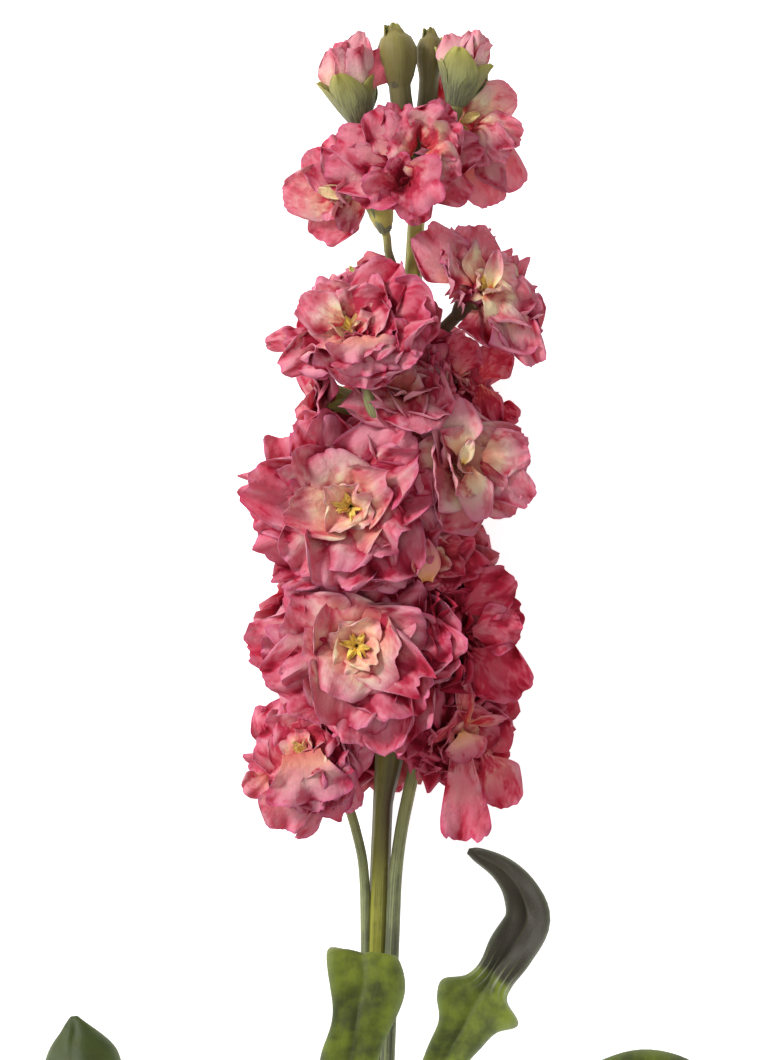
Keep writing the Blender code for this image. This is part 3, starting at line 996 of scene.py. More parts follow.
STEM_FINISH = GreenFinish(
    "stem", face=(0.28, 0.28, 0.035), shade=(0.12, 0.12, 0.012), flush=(0.40, 0.40, 0.10),
    back=(0.2, 0.2, 0.1), vein=(0.36, 0.36, 0.16), vein_share=0.08, roughness=0.45, streak=0.8, bloom=0.01,
)
CALYX_FINISH = GreenFinish(
    "calyx", face=(0.20, 0.23, 0.09), shade=(0.07, 0.08, 0.042), flush=(0.52, 0.45, 0.05),
    back=(0.36, 0.34, 0.2), vein=(0.46, 0.42, 0.22), vein_share=0.22, streak=0.6, bloom=0.12,
)
# the leaf's back is dark: partly its own grey-brown, partly painted shade where it curls over
LEAF_FINISH = GreenFinish(
    "leaf", face=(0.16, 0.20, 0.016), shade=(0.06, 0.072, 0.012), flush=(0.12, 0.14, 0.02),
    flush_share=0.3, back=(0.036, 0.030, 0.020), back_share=1.0, vein=(0.36, 0.36, 0.30), vein_count=7.0,
    vein_share=0.02, turn_veins=0.9, midrib=0.10, tinge_and_shade=(0.030, 0.042, 0.010), bloom=0.01, roughness=0.5,
    rim_highlight=0.35,
)


# --- florets


@dataclass(frozen=True)
class Whorl:
    """A ring of like petals: how many, and how far out and up the cup they are set, as shares of the
    flower's radius."""

    count: int
    out: float
    up: float
    form: PetalForm


FAN = Outline.FAN
SKIRT = Outline.SKIRT


class Opening(Enum):
    """How far a floret has opened, as its whorls of petals from the outermost in."""

    CRUMPLED = ()  # no whorls can be told apart: every petal has a place of its own
    FULL = (
        Whorl(6, 0.10, -0.04, PetalForm(1.14, 0.48, 60, 116, 4, 0.12, waves=2.3, outline=FAN)),
        Whorl(7, 0.09, -0.02, PetalForm(1.09, 0.46, 48, 106, 8, 0.13, waves=2.4, outline=FAN)),
        Whorl(7, 0.08, 0.02, PetalForm(1.0, 0.44, 36, 96, 10, 0.13, waves=2.4, pale=0.03, outline=FAN)),
        Whorl(6, 0.07, 0.07, PetalForm(0.84, 0.39, 26, 88, 12, 0.11, waves=2.3, pale=0.3, outline=FAN)),
        Whorl(5, 0.05, 0.14, PetalForm(0.66, 0.40, 16, 88, 12, 0.06, pale=0.66)),
        Whorl(4, 0.04, 0.19, PetalForm(0.40, 0.20, 6, 66, 24, 0.035, pale=0.95)),
        Whorl(6, 0.03, 0.24, PetalForm(0.22, 0.05, 0, 52, 50, 0.02, pale=1.5, outline=Outline.OVAL)),
    )
    HALF = (
        Whorl(5, 0.09, 0.00, PetalForm(1.12, 0.54, 42, 96, 14, 0.09, outline=FAN)),
        Whorl(5, 0.07, 0.02, PetalForm(0.98, 0.48, 30, 80, 20, 0.09, pale=0.1)),
        Whorl(5, 0.06, 0.06, PetalForm(0.76, 0.36, 16, 70, 26, 0.08, pale=0.4)),
        Whorl(4, 0.04, 0.10, PetalForm(0.50, 0.24, 6, 48, 40, 0.05, pale=0.8)),
    )
    THROAT = (
        Whorl(4, 0.08, -0.02, PetalForm(0.80, 0.34, 12, 58, 24, 0.07, pale=0.3)),
        Whorl(3, 0.05, 0.00, PetalForm(0.60, 0.24, 2, 36, 36, 0.05, pale=0.9)),
    )
    LOOSE = (
        Whorl(4, 0.10, 0.00, PetalForm(1.15, 0.58, 50, 96, 12, 0.06)),
        Whorl(4, 0.08, 0.02, PetalForm(1.00, 0.50, 38, 80, 20, 0.07, pale=0.2)),
        Whorl(4, 0.07, 0.04, PetalForm(0.80, 0.40, 26, 62, 28, 0.06, pale=0.4)),
        Whorl(3, 0.04, 0.04, PetalForm(0.56, 0.24, 4, 40, 44, 0.05, pale=0.8)),
    )


class Habit(Enum):
    """How a loose petal is held: lying open, rolled round itself, flaring up round a hollow, or
    wrapped over a bud."""

    OPEN = {
        "rise": 68, "lean": 100, "roll": 14, "ruffle": 0.09, "waves": 2.6, "crumple": 0.045,
        "outline": FAN,
    }
    FURLED = {
        "rise": 50, "lean": 84, "roll": 90, "ruffle": 0.05, "waves": 2.2, "crumple": 0.035,
        "outline": Outline.OVAL,
    }
    TRUMPET = {
        "rise": 2, "lean": 52, "curl": 50, "roll": 40, "ruffle": 0.07, "waves": 2.2, "crumple": 0.035,
        "outline": SKIRT,
    }
    WRAPPED = FURLED | {"rise": 92, "lean": 84, "roll": 50}


@dataclass(frozen=True)
class LoosePetal:
    """A petal that stands out from its whorl, measured in centimetres.

    It starts at a place from the flower's mouth, and grows towards a side: 0 degrees to the right and 90
    towards the flower's tip, seen from above. Its axis is the way that its inner face would look if it
    lay flat.
    """

    start: tuple[float, float, float]
    side: float
    form: PetalForm
    axis: Vector = UPWARD
    veil: float = 0.0
    fineness: float = 1.25

    def grow(self, bm: bmesh.types.BMesh, mouth: Vector, room: Room) -> None:
        """Adds the petal to its flower's mesh.

        Args:
            bm: The flower's mesh.
            mouth: The flower's mouth, in millimetres.
            room: What the petal presses against.
        """
        turned = math.radians(self.side)
        outward = Vector((math.cos(turned), math.sin(turned), 0.0))
        root = mouth + Vector(self.start) * CENTIMETRE
        petal = Petal(
            self.form, root, self.axis, outward, CENTIMETRE, self.side, fineness=self.fineness, veil=self.veil
        )
        petal.grow(bm, replace(room, neighbours=()))


TIER_TURN = 28  # degrees from the start of one whorl to the start of the next
CLAW_DEPTH = 1.2  # how deep in the mouth of its cup a petal is rooted, in millimetres


@dataclass(frozen=True)
class Corolla:
    """The petals of one floret. Its reach says how far they spread, as shares of its radius, at each
    eighth of a turn from the right, seen from above."""

    name: str
    radius: float
    opening: Opening = Opening.FULL
    reach: tuple[float, ...] = (1.0,) * 8
    seed: int = 0
    pale: float = 0.0
    pale_swing: float = 0.0  # how much paler it is on one side than in its middle
    pale_side: float = 0.0
    tinge_and_shade: float = 0.0  # how far its stalk and cup darken to purple-brown: partly their own tinge, partly painted shade
    veil: float = 0.0  # painted shade, as much as the florets round it hide it from the lamps
    stalk_radius: float = 1.25
    loose: tuple[LoosePetal, ...] = ()
    bulk_height: float = 0.36  # the height of the middle of its bulk, as a share of its radius

    def bulk(self, seat: Seat) -> Neighbour:
        """The middle and reach of its petals."""
        return Neighbour(seat.mouth + seat.facing * self.bulk_height * self.radius, self.radius)

    def grow(self, seat: Seat, room: Room, finish: bpy.types.Material) -> bpy.types.Object:
        """Builds every petal of the floret as one piece.

        Args:
            seat: Its place on its stalk.
            room: What it presses against.
            finish: The petals' material.

        Returns:
            The piece.
        """
        chance = random.Random(self.seed)
        bm = new_mesh()
        right = DOWNWARD if abs(seat.facing.x) > 0.9 else Vector((1.0, 0.0, 0.0))
        spoke = spokes_round(seat.facing, (right - seat.facing * right.dot(seat.facing)).normalized())
        for tier, whorl in enumerate(self.opening.value):
            start = tier * TIER_TURN + chance.uniform(-8, 8)
            for number in range(whorl.count):
                side = start + 360 * (number + chance.uniform(-0.22, 0.22)) / whorl.count
                form = whorl.form.varied(chance)
                spread = self._spread(side)
                swing = self.pale_swing * math.cos(math.radians(side - self.pale_side))
                form = replace(
                    form, pale=max(form.pale + self.pale + swing, 0.0), length=form.length * spread,
                    half_width=form.half_width * min(0.35 + 0.9 * spread, 1.0),
                )
                outward = spoke(math.radians(side))
                root = seat.mouth + outward * whorl.out * self.radius
                root += seat.facing * (whorl.up * self.radius - CLAW_DEPTH)
                seed = chance.uniform(0, 40)
                Petal(form, root, seat.facing, outward, self.radius, seed, *self.grain).grow(bm, room)
        for petal in self.loose:
            petal.grow(bm, seat.mouth, room)
        # painted shade where its own petals hide the sky, with that of the florets round it
        shade_hidden(bm, room.centre, seat.facing, self.veil)
        return finished_piece(self.name + "_bloom", bm, finish)

    @property
    def grain(self) -> tuple[float, float]:
        """Its petals' thickness, and how finely they are modelled: less so where they are hidden."""
        return (0.2, 0.62) if self.name.startswith(("under", "side")) else (0.16, 1.0)

    def _spread(self, side: float) -> float:
        """How far its petals reach on one side of it.

        Args:
            side: The side's angle from the right, in degrees.

        Returns:
            The reach, as a share of its radius.
        """
        eighth = (side % 360) / 45
        low = int(eighth)
        share = smooth(eighth - low)
        return self.reach[low % 8] * (1 - share) + self.reach[(low + 1) % 8] * share


def loose_petal(
    habit: Habit, start: tuple[float, float, float], side: float, length: float, half_width: float,
    pale: float = 0.0, veil: float = 0.0, axis: Vector = UPWARD, **settings: float | Outline,
) -> LoosePetal:
    """A petal in a place of its own, with its sizes in centimetres.

    Args:
        habit: How it is held.
        start: Where it starts from the flower's mouth.
        side: The side that it grows towards, in degrees.
        length: Its length.
        half_width: Half its width when it is flat.
        pale: How cream it is.
        veil: How much painted shade it takes besides its own flower's.
        axis: The way that its inner face would look if it lay flat.
        settings: Any other of its form's fields.

    Returns:
        The petal.
    """
    form = PetalForm(length=length, half_width=half_width, pale=pale, **(habit.value | settings))
    return LoosePetal(start, side, form, axis, veil)


opened = partial(loose_petal, Habit.OPEN)
furled = partial(loose_petal, Habit.FURLED)
trumpet = partial(loose_petal, Habit.TRUMPET)
wrapped = partial(loose_petal, Habit.WRAPPED, axis=DOWNWARD)

# Painted shade is added to the florets that the others hide from the key lamp, and taken off some petals that
# lie in the open.
COROLLAS = (
    Corolla(
        "lower_left", 16.0, seed=11, stalk_radius=0.95, pale=-0.16,
        reach=(0.6, 0.75, 0.9, 0.9, 0.9, 0.85, 0.7, 0.6),
        loose=(
            opened((-0.25, 0.05, 0.66), 281, 1.04, 0.9, 0.06, ruffle=0.11, rise=58, waves=3.4, outline=SKIRT),
            opened((-0.35, 0, 0.45), 286, 1.2, 0.5, 0.06, ruffle=0.11),
            opened((-0.5, -0.5, 0.3), 262, 1.05, 0.58, 0.04, ruffle=0.06),
            opened((-0.95, -0.4, 0.2), 222, 0.6, 0.32),
            opened((0.1, -0.3, 0.2), 316, 1.1, 0.44, ruffle=0.1),
        ),
    ),
    Corolla(
        "lower_right", 16.5, seed=12, veil=0.3, reach=(0.75, 0.9, 0.85, 0.7, 0.55, 0.5, 0.5, 0.7),
        loose=(
            opened(
                (0.22, -0.3, 0.35), 274, 1.88, 0.52, -0.5, roll=20, crease=0.05, twist=-8,
                outline=SKIRT, veil=-0.22,
            ),
            opened((0.7, -0.4, 0.15), 298, 1.2, 0.52, -0.4, crease=0.08, ruffle=0.12, veil=-0.2),
            opened((0.25, 0.05, 0.6), 288, 0.62, 0.44, 0.42, lean=118, ruffle=0.05),
            furled((0.35, 0.25, 0.5), 96, 1.15, 0.26, 0.5),
            furled((0.45, 0.25, 0.55), 8, 0.75, 0.16, 0.55, curl=60),
        ),
    ),
    Corolla("lower_front", 19.0, seed=13, reach=(1.12, 1.0, 0.7, 0.9, 1.0, 1.0, 1.12, 1.15)),
    Corolla(
        "right_shaded", 14.5, seed=14, veil=0.52, pale=-0.8, reach=(1.2,) * 8,
        loose=(
            opened((0.25, 0.46, 0.5), 38, 1.22, 0.56, -0.5, ruffle=0.14, waves=3.2, veil=-0.2),
            opened((0.42, 0.06, 0.6), 8, 0.98, 0.54, -0.5, ruffle=0.15, waves=3, veil=-0.26),
            opened((0.38, -0.34, 0.55), 324, 1.36, 0.64, -0.5, ruffle=0.12, veil=-0.18),
        ),
    ),
    Corolla(
        "middle_small", 9.0, Opening.LOOSE, seed=15, pale=0.15, veil=0.35,
        loose=(furled((-0.15, -0.4, 0.45), 94, 0.9, 0.32, 0.6, roll=46),),
    ),
    Corolla(
        "middle_front", 19.5, seed=16, pale=-0.03,
        reach=(0.88, 0.98, 1.02, 0.95, 1.12, 1.08, 0.98, 0.98),
    ),
    Corolla(
        "middle_right", 14.0, Opening.LOOSE, seed=17, pale=0.2, veil=-0.12,
        loose=(
            opened((0.05, 0.2, 0.5), 96, 1.15, 0.52, 0.24, roll=30, ruffle=0.05),
            opened((0.25, -0.05, 0.45), 282, 1.1, 0.38, 0.2, ruffle=0.04),
            opened((0.5, 0.15, 0.3), 12, 0.95, 0.5, 0.15),
            opened((0.5, 0, 0.2), 325, 1.25, 0.44, 0.05),
            furled((0.12, 0.04, 0.6), 70, 0.5, 0.2, 0.8),
        ),
    ),
    Corolla(
        "middle_top", 13.0, Opening.HALF, seed=18, veil=-0.15,
        loose=(opened((0.1, -0.2, -0.3), 285, 1.3, 0.5),),
    ),
    Corolla(
        "upper_shaded", 14.5, seed=19, tinge_and_shade=0.8, veil=0.25, pale=-0.5,
        reach=(1.0, 0.75, 0.55, 0.55, 0.8, 0.9, 1.0, 1.0),
        loose=(
            opened((0.2, 0.1, 0.3), 78, 0.82, 0.52),
            opened((0.75, 0.05, 0.2), 52, 0.8, 0.44),
            opened((0.7, -0.1, 0.1), 290, 0.95, 0.34, 0.2),
            opened((1, -0.55, 0), 338, 0.55, 0.26),
            furled((0, -0.45, 0.5), 92, 0.75, 0.2, 0.7, roll=40),
        ),
    ),
    Corolla(
        "upper_left", 16.5, seed=20, pale=-0.16, pale_swing=0.30, pale_side=150,
        reach=(1.08, 1.02, 0.92, 0.9, 0.76, 0.36, 0.26, 0.64),
        loose=(
            opened((-0.45, 0.1, -0.05), 216, 1.3, 0.4, 0.15, roll=30),
            opened((-1, 0.1, -0.25), 196, 0.85, 0.26, 0.1),
            opened((-0.25, 0.3, 0.4), 156, 1, 0.46, 0.3, ruffle=0.08),
            opened((0.1, 0, 0.6), 276, 0.6, 0.74, -0.25, rise=14, lean=92, ruffle=0.17, waves=3.8),
            opened((0.18, -0.18, 0.52), 284, 0.66, 0.76, -0.4, rise=20, lean=96, ruffle=0.17, waves=3.8),
            opened((0.12, -0.32, 0.36), 272, 0.74, 0.72, -0.4, rise=28, lean=100, ruffle=0.16, waves=3.6),
            opened((0.42, 0.05, 0.42), 324, 0.9, 0.56, -0.4, rise=24, lean=98, ruffle=0.15, waves=3.4),
        ),
    ),
    Corolla(
        "upper_right", 15.0, seed=21, tinge_and_shade=0.9, pale=0.06, veil=-0.16,
        reach=(0.74, 0.68, 0.85, 0.85, 0.14, 0.04, 0.06, 1.0),
        loose=(
            opened((-0.25, 0.2, 0), 130, 1.4, 0.58, ruffle=0.11),
            opened((0, 0.25, 0), 98, 1.15, 0.54, 0.02, ruffle=0.1),
            opened((0.55, -0.3, 0.1), 300, 1.3, 0.4, 0.1),
            furled((0.25, 0.1, 0.45), 80, 0.8, 0.26, 0.6),
        ),
    ),
    Corolla(
        "crown_left", 10.5, Opening.THROAT, seed=22, pale=0.1, stalk_radius=0.8,
        loose=(
            opened((-0.1, 0.05, 0), 186, 1.25, 0.58, 0.3, ruffle=0.05),
            opened((0, -0.05, -0.1), 236, 1.1, 0.54, 0.2, ruffle=0.06),
            opened((0, 0.05, 0.1), 140, 1.15, 0.46, -0.3, ruffle=0.09),
            opened((0, 0.1, 0.1), 108, 1.1, 0.44, -0.3, ruffle=0.09),
            opened((0.1, 0.05, 0.05), 74, 1.05, 0.42, -0.2, ruffle=0.1),
            opened((0.05, 0, 0), 262, 0.8, 0.32, 0.15),
            furled((-0.05, -0.05, 0.25), 172, 0.62, 0.2, 1.1),
        ),
    ),
    Corolla(
        "crown_front", 11.5, Opening.CRUMPLED, seed=23, veil=0.12,
        loose=(
            opened((-0.25, 0, -0.05), 184, 1.4, 0.56, -0.4, ruffle=0.08),
            opened((-0.2, 0.1, 0.05), 156, 1.35, 0.52, -0.4, ruffle=0.1, curl=20),
            opened((-0.1, 0.2, 0.1), 124, 1.15, 0.46, -0.4, ruffle=0.12),
            opened((-0.05, 0.35, 0.15), 98, 0.95, 0.44, -0.3, ruffle=0.1, curl=25),
            opened((0.35, 0.4, 0), 66, 1, 0.46, 0.1, ruffle=0.13),
            opened((0.45, 0.15, -0.1), 18, 1.1, 0.46, 0.1, ruffle=0.15),
            opened((0.3, -0.05, -0.1), 330, 1.1, 0.44, 0.1, ruffle=0.12),
            opened((-0.2, -0.1, 0), 214, 1, 0.42, 0.05, ruffle=0.12),
            opened((0.05, -0.2, 0), 282, 0.95, 0.4, 0.05, ruffle=0.12),
            # a trumpet round a deep hollow, whose floor is a petal darkened by painted shade
            opened((-0.04, -0.02, 0.04), 270, 0.55, 0.34, -1, rise=88, lean=96, ruffle=0.03, veil=0.9),
            trumpet((0, -0.17, 0.12), 80, 0.48, 0.46, -0.2),
            trumpet((0.05, -0.25, 0.14), 348, 0.92, 0.6, 0.12, ruffle=0.05),
            trumpet((0.02, -0.33, 0.14), 304, 1.1, 0.56, 0.06, ruffle=0.06),
            trumpet((-0.1, -0.37, 0.13), 262, 0.84, 0.46, -0.2, ruffle=0.08),
            trumpet((-0.17, -0.31, 0.12), 206, 1.12, 0.42, -0.3, ruffle=0.1),
            trumpet((-0.14, -0.19, 0.12), 140, 0.54, 0.46, -0.3, ruffle=0.08),
            furled((-0.03, -0.36, 0.1), 300, 0.36, 0.16, -0.6, rise=2, lean=34, veil=0.35),
            # folds of peach beside it
            opened((0.14, 0.36, 0.08), 152, 0.6, 0.56, 0.44, rise=16, lean=88, ruffle=0.13, waves=3.2),
            opened((0.34, 0.46, 0.1), 48, 0.86, 0.68, 0.16, rise=26, lean=98, ruffle=0.14, waves=3.4),
            opened((0.46, 0.36, 0.2), 350, 0.62, 0.6, 0.4, rise=14, lean=92, ruffle=0.18, waves=3.6),
            opened((0.36, 0.24, 0.24), 318, 0.86, 0.52, 0.34, rise=20, lean=102, ruffle=0.16, waves=3.4),
            opened((0.26, 0.18, 0.22), 296, 0.5, 0.42, 0.46, rise=12, lean=86, ruffle=0.12, waves=3),
        ),
    ),
    Corolla(
        "crown_right", 10.5, Opening.CRUMPLED, seed=24, veil=-0.12,
        loose=(
            opened((0.3, 0.05, 0.05), 32, 1.15, 0.52, 0.32, roll=22, ruffle=0.06),
            opened((0.2, 0.1, -0.1), 66, 1, 0.44, 0.26, roll=22, ruffle=0.06),
            opened((0.5, -0.1, 0.1), 350, 1, 0.42, 0.18, ruffle=0.13, rise=50),
            opened((0.45, -0.15, 0.15), 326, 0.95, 0.4, 0.12, ruffle=0.13, rise=40),
            opened((0.35, -0.2, 0.15), 292, 0.8, 0.4, 0.05, ruffle=0.16, rise=30),
            opened((0.45, -0.35, -0.25), 318, 1.35, 0.48, -0.3, ruffle=0.05),
            opened((0.35, -0.45, -0.3), 294, 1.3, 0.54, -0.3, ruffle=0.05),
            opened((-0.05, 0.05, -0.4), 108, 1, 0.34),
            opened((0, -0.1, -0.2), 200, 0.9, 0.4),
            opened((0.15, 0.05, -0.1), 345, 0.8, 0.46, 0.05),
            furled((0.22, 0.02, 0.1), 24, 0.44, 0.14, 1.25),
            furled((0.12, 0.02, 0.12), 74, 0.4, 0.12, 1.25),
            furled((0.14, -0.04, 0.12), 318, 0.36, 0.12, 1.25),
        ),
    ),
    Corolla("side_lower", 12.5, seed=25),
    Corolla("side_upper", 11.0, Opening.HALF, seed=26),
    Corolla("under_lower", 14.0, seed=27),
    Corolla("under_left", 15.0, seed=28),
    Corolla("under_right", 14.0, seed=29),
    Corolla("under_middle", 15.0, seed=30),
    Corolla("under_upper", 14.0, seed=31, reach=(0.9, 1.0, 1.0, 1.0, 0.9, 0.7, 0.3, 0.4)),
    Corolla("under_crown", 12.0, seed=32, reach=(0.7, 1.0, 1.0, 0.6, 0.2, 0.12, 0.12, 0.2)),
)


# --- stalks, cups and buds


class Sepals(Enum):
    """How a cup is shaped: its body as (share of its length, share of its girth), and its four sepals,
    which are parted by a floret, closed over a bud, or flared by a bud's petals."""

    PARTED = (
        ((0.06, 0.42), (0.2, 0.64), (0.42, 0.82), (0.64, 0.86), (0.82, 0.66), (0.95, 0.2)),
        PetalForm(1.16, 0.90, 26, -2, 70, 0.012, curl=26, crumple=0.012, outline=Outline.LANCE),
    )
    CLOSED = (
        PARTED[0],
        PetalForm(1.03, 0.90, 24, -22, 70, 0.012, curl=4, crumple=0.012, outline=Outline.SEPAL),
    )
    FLARED = (
        ((0.04, 0.30), (0.15, 0.44), (0.34, 0.62), (0.50, 0.72), (0.62, 0.66), (0.70, 0.3)),
        PetalForm(1.10, 0.48, 35, 12, 62, 0.02, curl=8, crumple=0.014, outline=Outline.SEPAL),
    )


SEPAL_COUNT = 4
STALK_PULL = 0.35  # how far, as a share of its reach, a stalk keeps to its first and its last way


@dataclass(frozen=True)
class Cup:
    """A stalk and the cup at its end: its swollen foot and its four sepals.

    A stalk with a route clings to the stem first: its points are in millimetres, x and y from the stem's
    foot and z above the table.
    """

    name: str
    node: str
    length: float = 8.5
    girth: float = 2.9
    stalk_radius: float = 1.05
    sepals: Sepals = Sepals.PARTED
    route: tuple[tuple[float, float, float], ...] = ()
    tinge_and_shade: float = 0.0
    bends: int = 14
    sepal_thickness: float = 0.35

    def settled(self, seat: Seat, stem: StemLine) -> Seat:
        """The seat itself, or where the cup droops to a place of its own, that place.

        Args:
            seat: Where the frame puts it.
            stem: The stem's line.

        Returns:
            The seat.
        """
        if self.name not in DROOPING_CUPS:
            return seat
        foot, mouth = stem.placed(*DROOPING_CUPS[self.name])
        return Seat(seat.root, foot, mouth, (mouth - foot).normalized())

    def line(self, seat: Seat, stem: StemLine) -> list[Vector]:
        """The points that the stalk passes from the stem to the foot of its cup.

        Args:
            seat: Where the frame puts it.
            stem: The stem's line.

        Returns:
            The points, in millimetres.
        """
        if self.route:
            points = [*stem.placed(*self.route), seat.foot - seat.facing * 1.5, seat.foot]
            return smooth_line(points, 3 * self.bends)
        reach = (seat.foot - seat.root).length
        leave = (stem.way + (seat.foot - seat.root).normalized()).normalized()
        return interpolate_bezier(
            seat.root, seat.root + leave * reach * STALK_PULL,
            seat.foot - seat.facing * reach * STALK_PULL, seat.foot, self.bends,
        )

    def grow(self, seat: Seat, stem: StemLine, finish: bpy.types.Material) -> bpy.types.Object:
        """Builds the stalk and its cup as one piece.

        Args:
            seat: Where the stalk runs.
            stem: The stem's line.
            finish: The green material.

        Returns:
            The piece.
        """
        bm = new_mesh()
        seat = self.settled(seat, stem)
        line = self.line(seat, stem)
        radii = [self.stalk_radius * (1.25 - 0.25 * smooth(2 * n / len(line))) for n in range(len(line))]
        body, sepal = self.sepals.value
        if self.sepals is not Sepals.FLARED:  # the others keep their width to the cup's girth
            sepal = replace(sepal, half_width=sepal.half_width * self.girth / self.length)
        for along, girth in body:
            line.append(seat.foot + seat.facing * self.length * along)
            radii.append(max(self.girth * girth, self.stalk_radius * smooth(4 - 4 * along)))
        tube(bm, line, radii, sides=12, ribs=4, rib_depth=0.04)
        spoke = spokes_round(seat.facing, seat.facing.orthogonal().normalized())
        for number in range(SEPAL_COUNT):
            outward = spoke(math.tau * number / SEPAL_COUNT + 0.4)
            root = seat.foot + outward * self.girth * (0.36 + 0.05 * (number % 2))
            length, lean = sepal.length * (0.92 + 0.05 * number), sepal.lean + 6 * (number % 3)
            own = replace(sepal, length=length, lean=lean)
            petal = Petal(
                own, root, seat.facing, outward, self.length, 3.0 * number, self.sepal_thickness, fineness=0.8
            )
            petal.grow(bm, None)
        surface = bm.verts.layers.float_vector[SURFACE]
        for vert in bm.verts:
            vert[surface].z = self.tinge_and_shade
        return finished_piece(self.name + "_cup", bm, finish)


DROOPING_CUPS = {"crown_left": ((4.2, 289.2, 39.5), (2.4, 296.8, 42.5))}
STALK_ROUTES = {
    "lower_left": (
        (0.4, 112, 14.4), (0.3, 132, 16.9), (0.2, 150, 18.8), (-0.3, 162, 20.6),
        (-1.8, 169.5, 22.4), (-3.5, 175.8, 23.2),
    ),
    "lower_right": (
        (4, 112, 15.8), (4.8, 130, 17.8), (5.6, 148, 19.6), (6.2, 160, 21.2),
        (7.3, 169, 22.4), (8.9, 177, 22.8), (10.4, 184, 22),
    ),
    "crown_left": ((9.4, 277, 31), (6.6, 281, 33.5), (4.9, 285, 36)),
    "upper_left": ((8, 246, 28.5), (5.5, 250, 36), (2.2, 253, 41), (0.6, 258, 40.5)),
}


KNOT_COUNT = 9  # the furled petals of a bud
KNOT_DEPTH = 4.0  # how deep in the mouth of its cup they are rooted, in millimetres
GOLDEN_TURN = 0.382  # the share of a turn from one of them to the next


@dataclass(frozen=True)
class Bud:
    """A bud: its cup's length and girth, and the reach of the petals that stand out of it."""

    name: str
    length: float
    girth: float
    knot: float = 0.0
    seed: int = 0
    tinge_and_shade: float = 0.22
    stalk_radius: float = 1.6
    loose: tuple[LoosePetal, ...] = ()

    @property
    def cup(self) -> Cup:
        """The bud's stalk and cup.

        Returns:
            The cup.
        """
        return Cup(
            self.name, self.name + "_calyx", self.length, self.girth, self.stalk_radius,
            Sepals.FLARED if self.knot else Sepals.CLOSED, tinge_and_shade=self.tinge_and_shade,
        )

    def unfurl(self, seat: Seat, finish: bpy.types.Material) -> bpy.types.Object:
        """Builds the knot of furled petals, each wrapped round the next.

        Args:
            seat: The bud's cup.
            finish: The petals' material.

        Returns:
            The piece.
        """
        chance = random.Random(self.seed)
        bm = new_mesh()
        spoke = spokes_round(seat.facing, seat.facing.orthogonal().normalized())
        form = PetalForm(1.55, 0.60, 32, -20, 56, 0.06, crumple=0.03, pale=0.3)
        for number in range(KNOT_COUNT):
            share = number / KNOT_COUNT
            outward = spoke(math.tau * (number * GOLDEN_TURN + chance.uniform(-0.04, 0.04)))
            own = replace(form.varied(chance), rise=34 - 26 * share, lean=-10 - 6 * share)
            root = seat.mouth + outward * self.girth * (0.62 - 0.45 * share) - seat.facing * KNOT_DEPTH
            Petal(own, root, seat.facing, outward, self.knot, chance.uniform(0, 40)).grow(bm, None)
        room = Room(seat.mouth, self.knot, ())
        for petal in self.loose:
            petal.grow(bm, seat.mouth, room)
        # painted shade where the knot's petals hide the sky from each other
        shade_hidden(bm, seat.mouth, Vector((0.0, 0.3, 1.0)).normalized(), 0.0, 3.0)
        return finished_piece(self.name + "_knot", bm, finish)


BUDS = (
    Bud(
        "bud_left", 10.0, 5.0, knot=6.6, seed=51,
        loose=(
            wrapped((-0.14, -0.3, 0.3), 106, 0.86, 0.46, 0.3),
            wrapped((0, -0.2, 0.36), 78, 1.08, 0.4, 0.3, rise=90, roll=44),
            # painted shade darkens the petal on the knot's right side
            wrapped((0.34, -0.24, 0.22), 64, 0.86, 0.4, 0.12, veil=0.4),
        ),
    ),
    Bud("bud_middle_left", 12.5, 4.5, tinge_and_shade=0.64, stalk_radius=2.1),
    Bud("bud_middle_right", 10.5, 3.3, tinge_and_shade=0.74, stalk_radius=1.9),
    Bud("bud_small", 8.5, 2.4, tinge_and_shade=0.0),
    Bud(
        "bud_right", 10.5, 4.2, knot=5.4, seed=52,
        loose=(
            wrapped((-0.24, -0.22, 0.25), 104, 0.66, 0.42, 0.22, lean=78, roll=56),
            wrapped((0.06, -0.2, 0.28), 88, 0.7, 0.38, 0.26, lean=80),
        ),
    ),
)


# --- stem and leaves


@dataclass(frozen=True)
class MainStem:
    """The ridged main stem, along the line of its CAD node."""

    rings: int = 110
    sides: int = 26
    dusky_place: float = 0.572  # where along the stem it darkens to brown: partly its own tinge, partly painted shade of the lowest florets
    dusky_span: float = 0.056
    bundle: tuple[float, float] = (100.0, 186.0)  # from where to where stalks cling to it
    bundle_ease: tuple[float, float] = (20.0, 12.0)  # how gradually that starts and ends
    bundle_shift: float = -1.1
    bundle_girth: float = 0.68

    def grow(self, stem: StemLine, finish: bpy.types.Material) -> bpy.types.Object:
        """Builds the stem.

        Args:
            stem: Its line.
            finish: The green material.

        Returns:
            The piece.
        """
        line = smooth_line(list(stem.middles), self.rings + 1)
        widths = smooth_line([Vector((radius, 0, 0)) for radius in stem.radii], self.rings + 1)
        radii = []
        for ring, (point, width) in enumerate(zip(line, widths)):
            height = point.y - stem.foot.y
            shared = smooth((height - self.bundle[0]) / self.bundle_ease[0])
            shared *= smooth((self.bundle[1] - height) / self.bundle_ease[1])
            point.x += self.bundle_shift * shared
            girth = 0.96 + 0.03 * noise.noise(Vector((ring * 0.3, 0, 0)))
            radii.append(width.x * girth * (1 + (self.bundle_girth - 1) * shared))
        bm = new_mesh()
        tube(bm, line, radii, sides=self.sides, ribs=5, rib_depth=0.07)
        surface = bm.verts.layers.float_vector[SURFACE]
        for vert in bm.verts:
            off = (vert[surface].y - self.dusky_place) / self.dusky_span
            # painted shade besides: the brown band is darker on the stem's right side, away from the key lamp
            rightward = smooth((vert.co.x / MM - stem.at(vert.co.y / MM).x) / 2.4 + 0.9)
            vert[surface].z = 0.96 * math.exp(-(off**2)) * (0.6 + 0.4 * rightward)
        return finished_piece("stem", bm, finish)


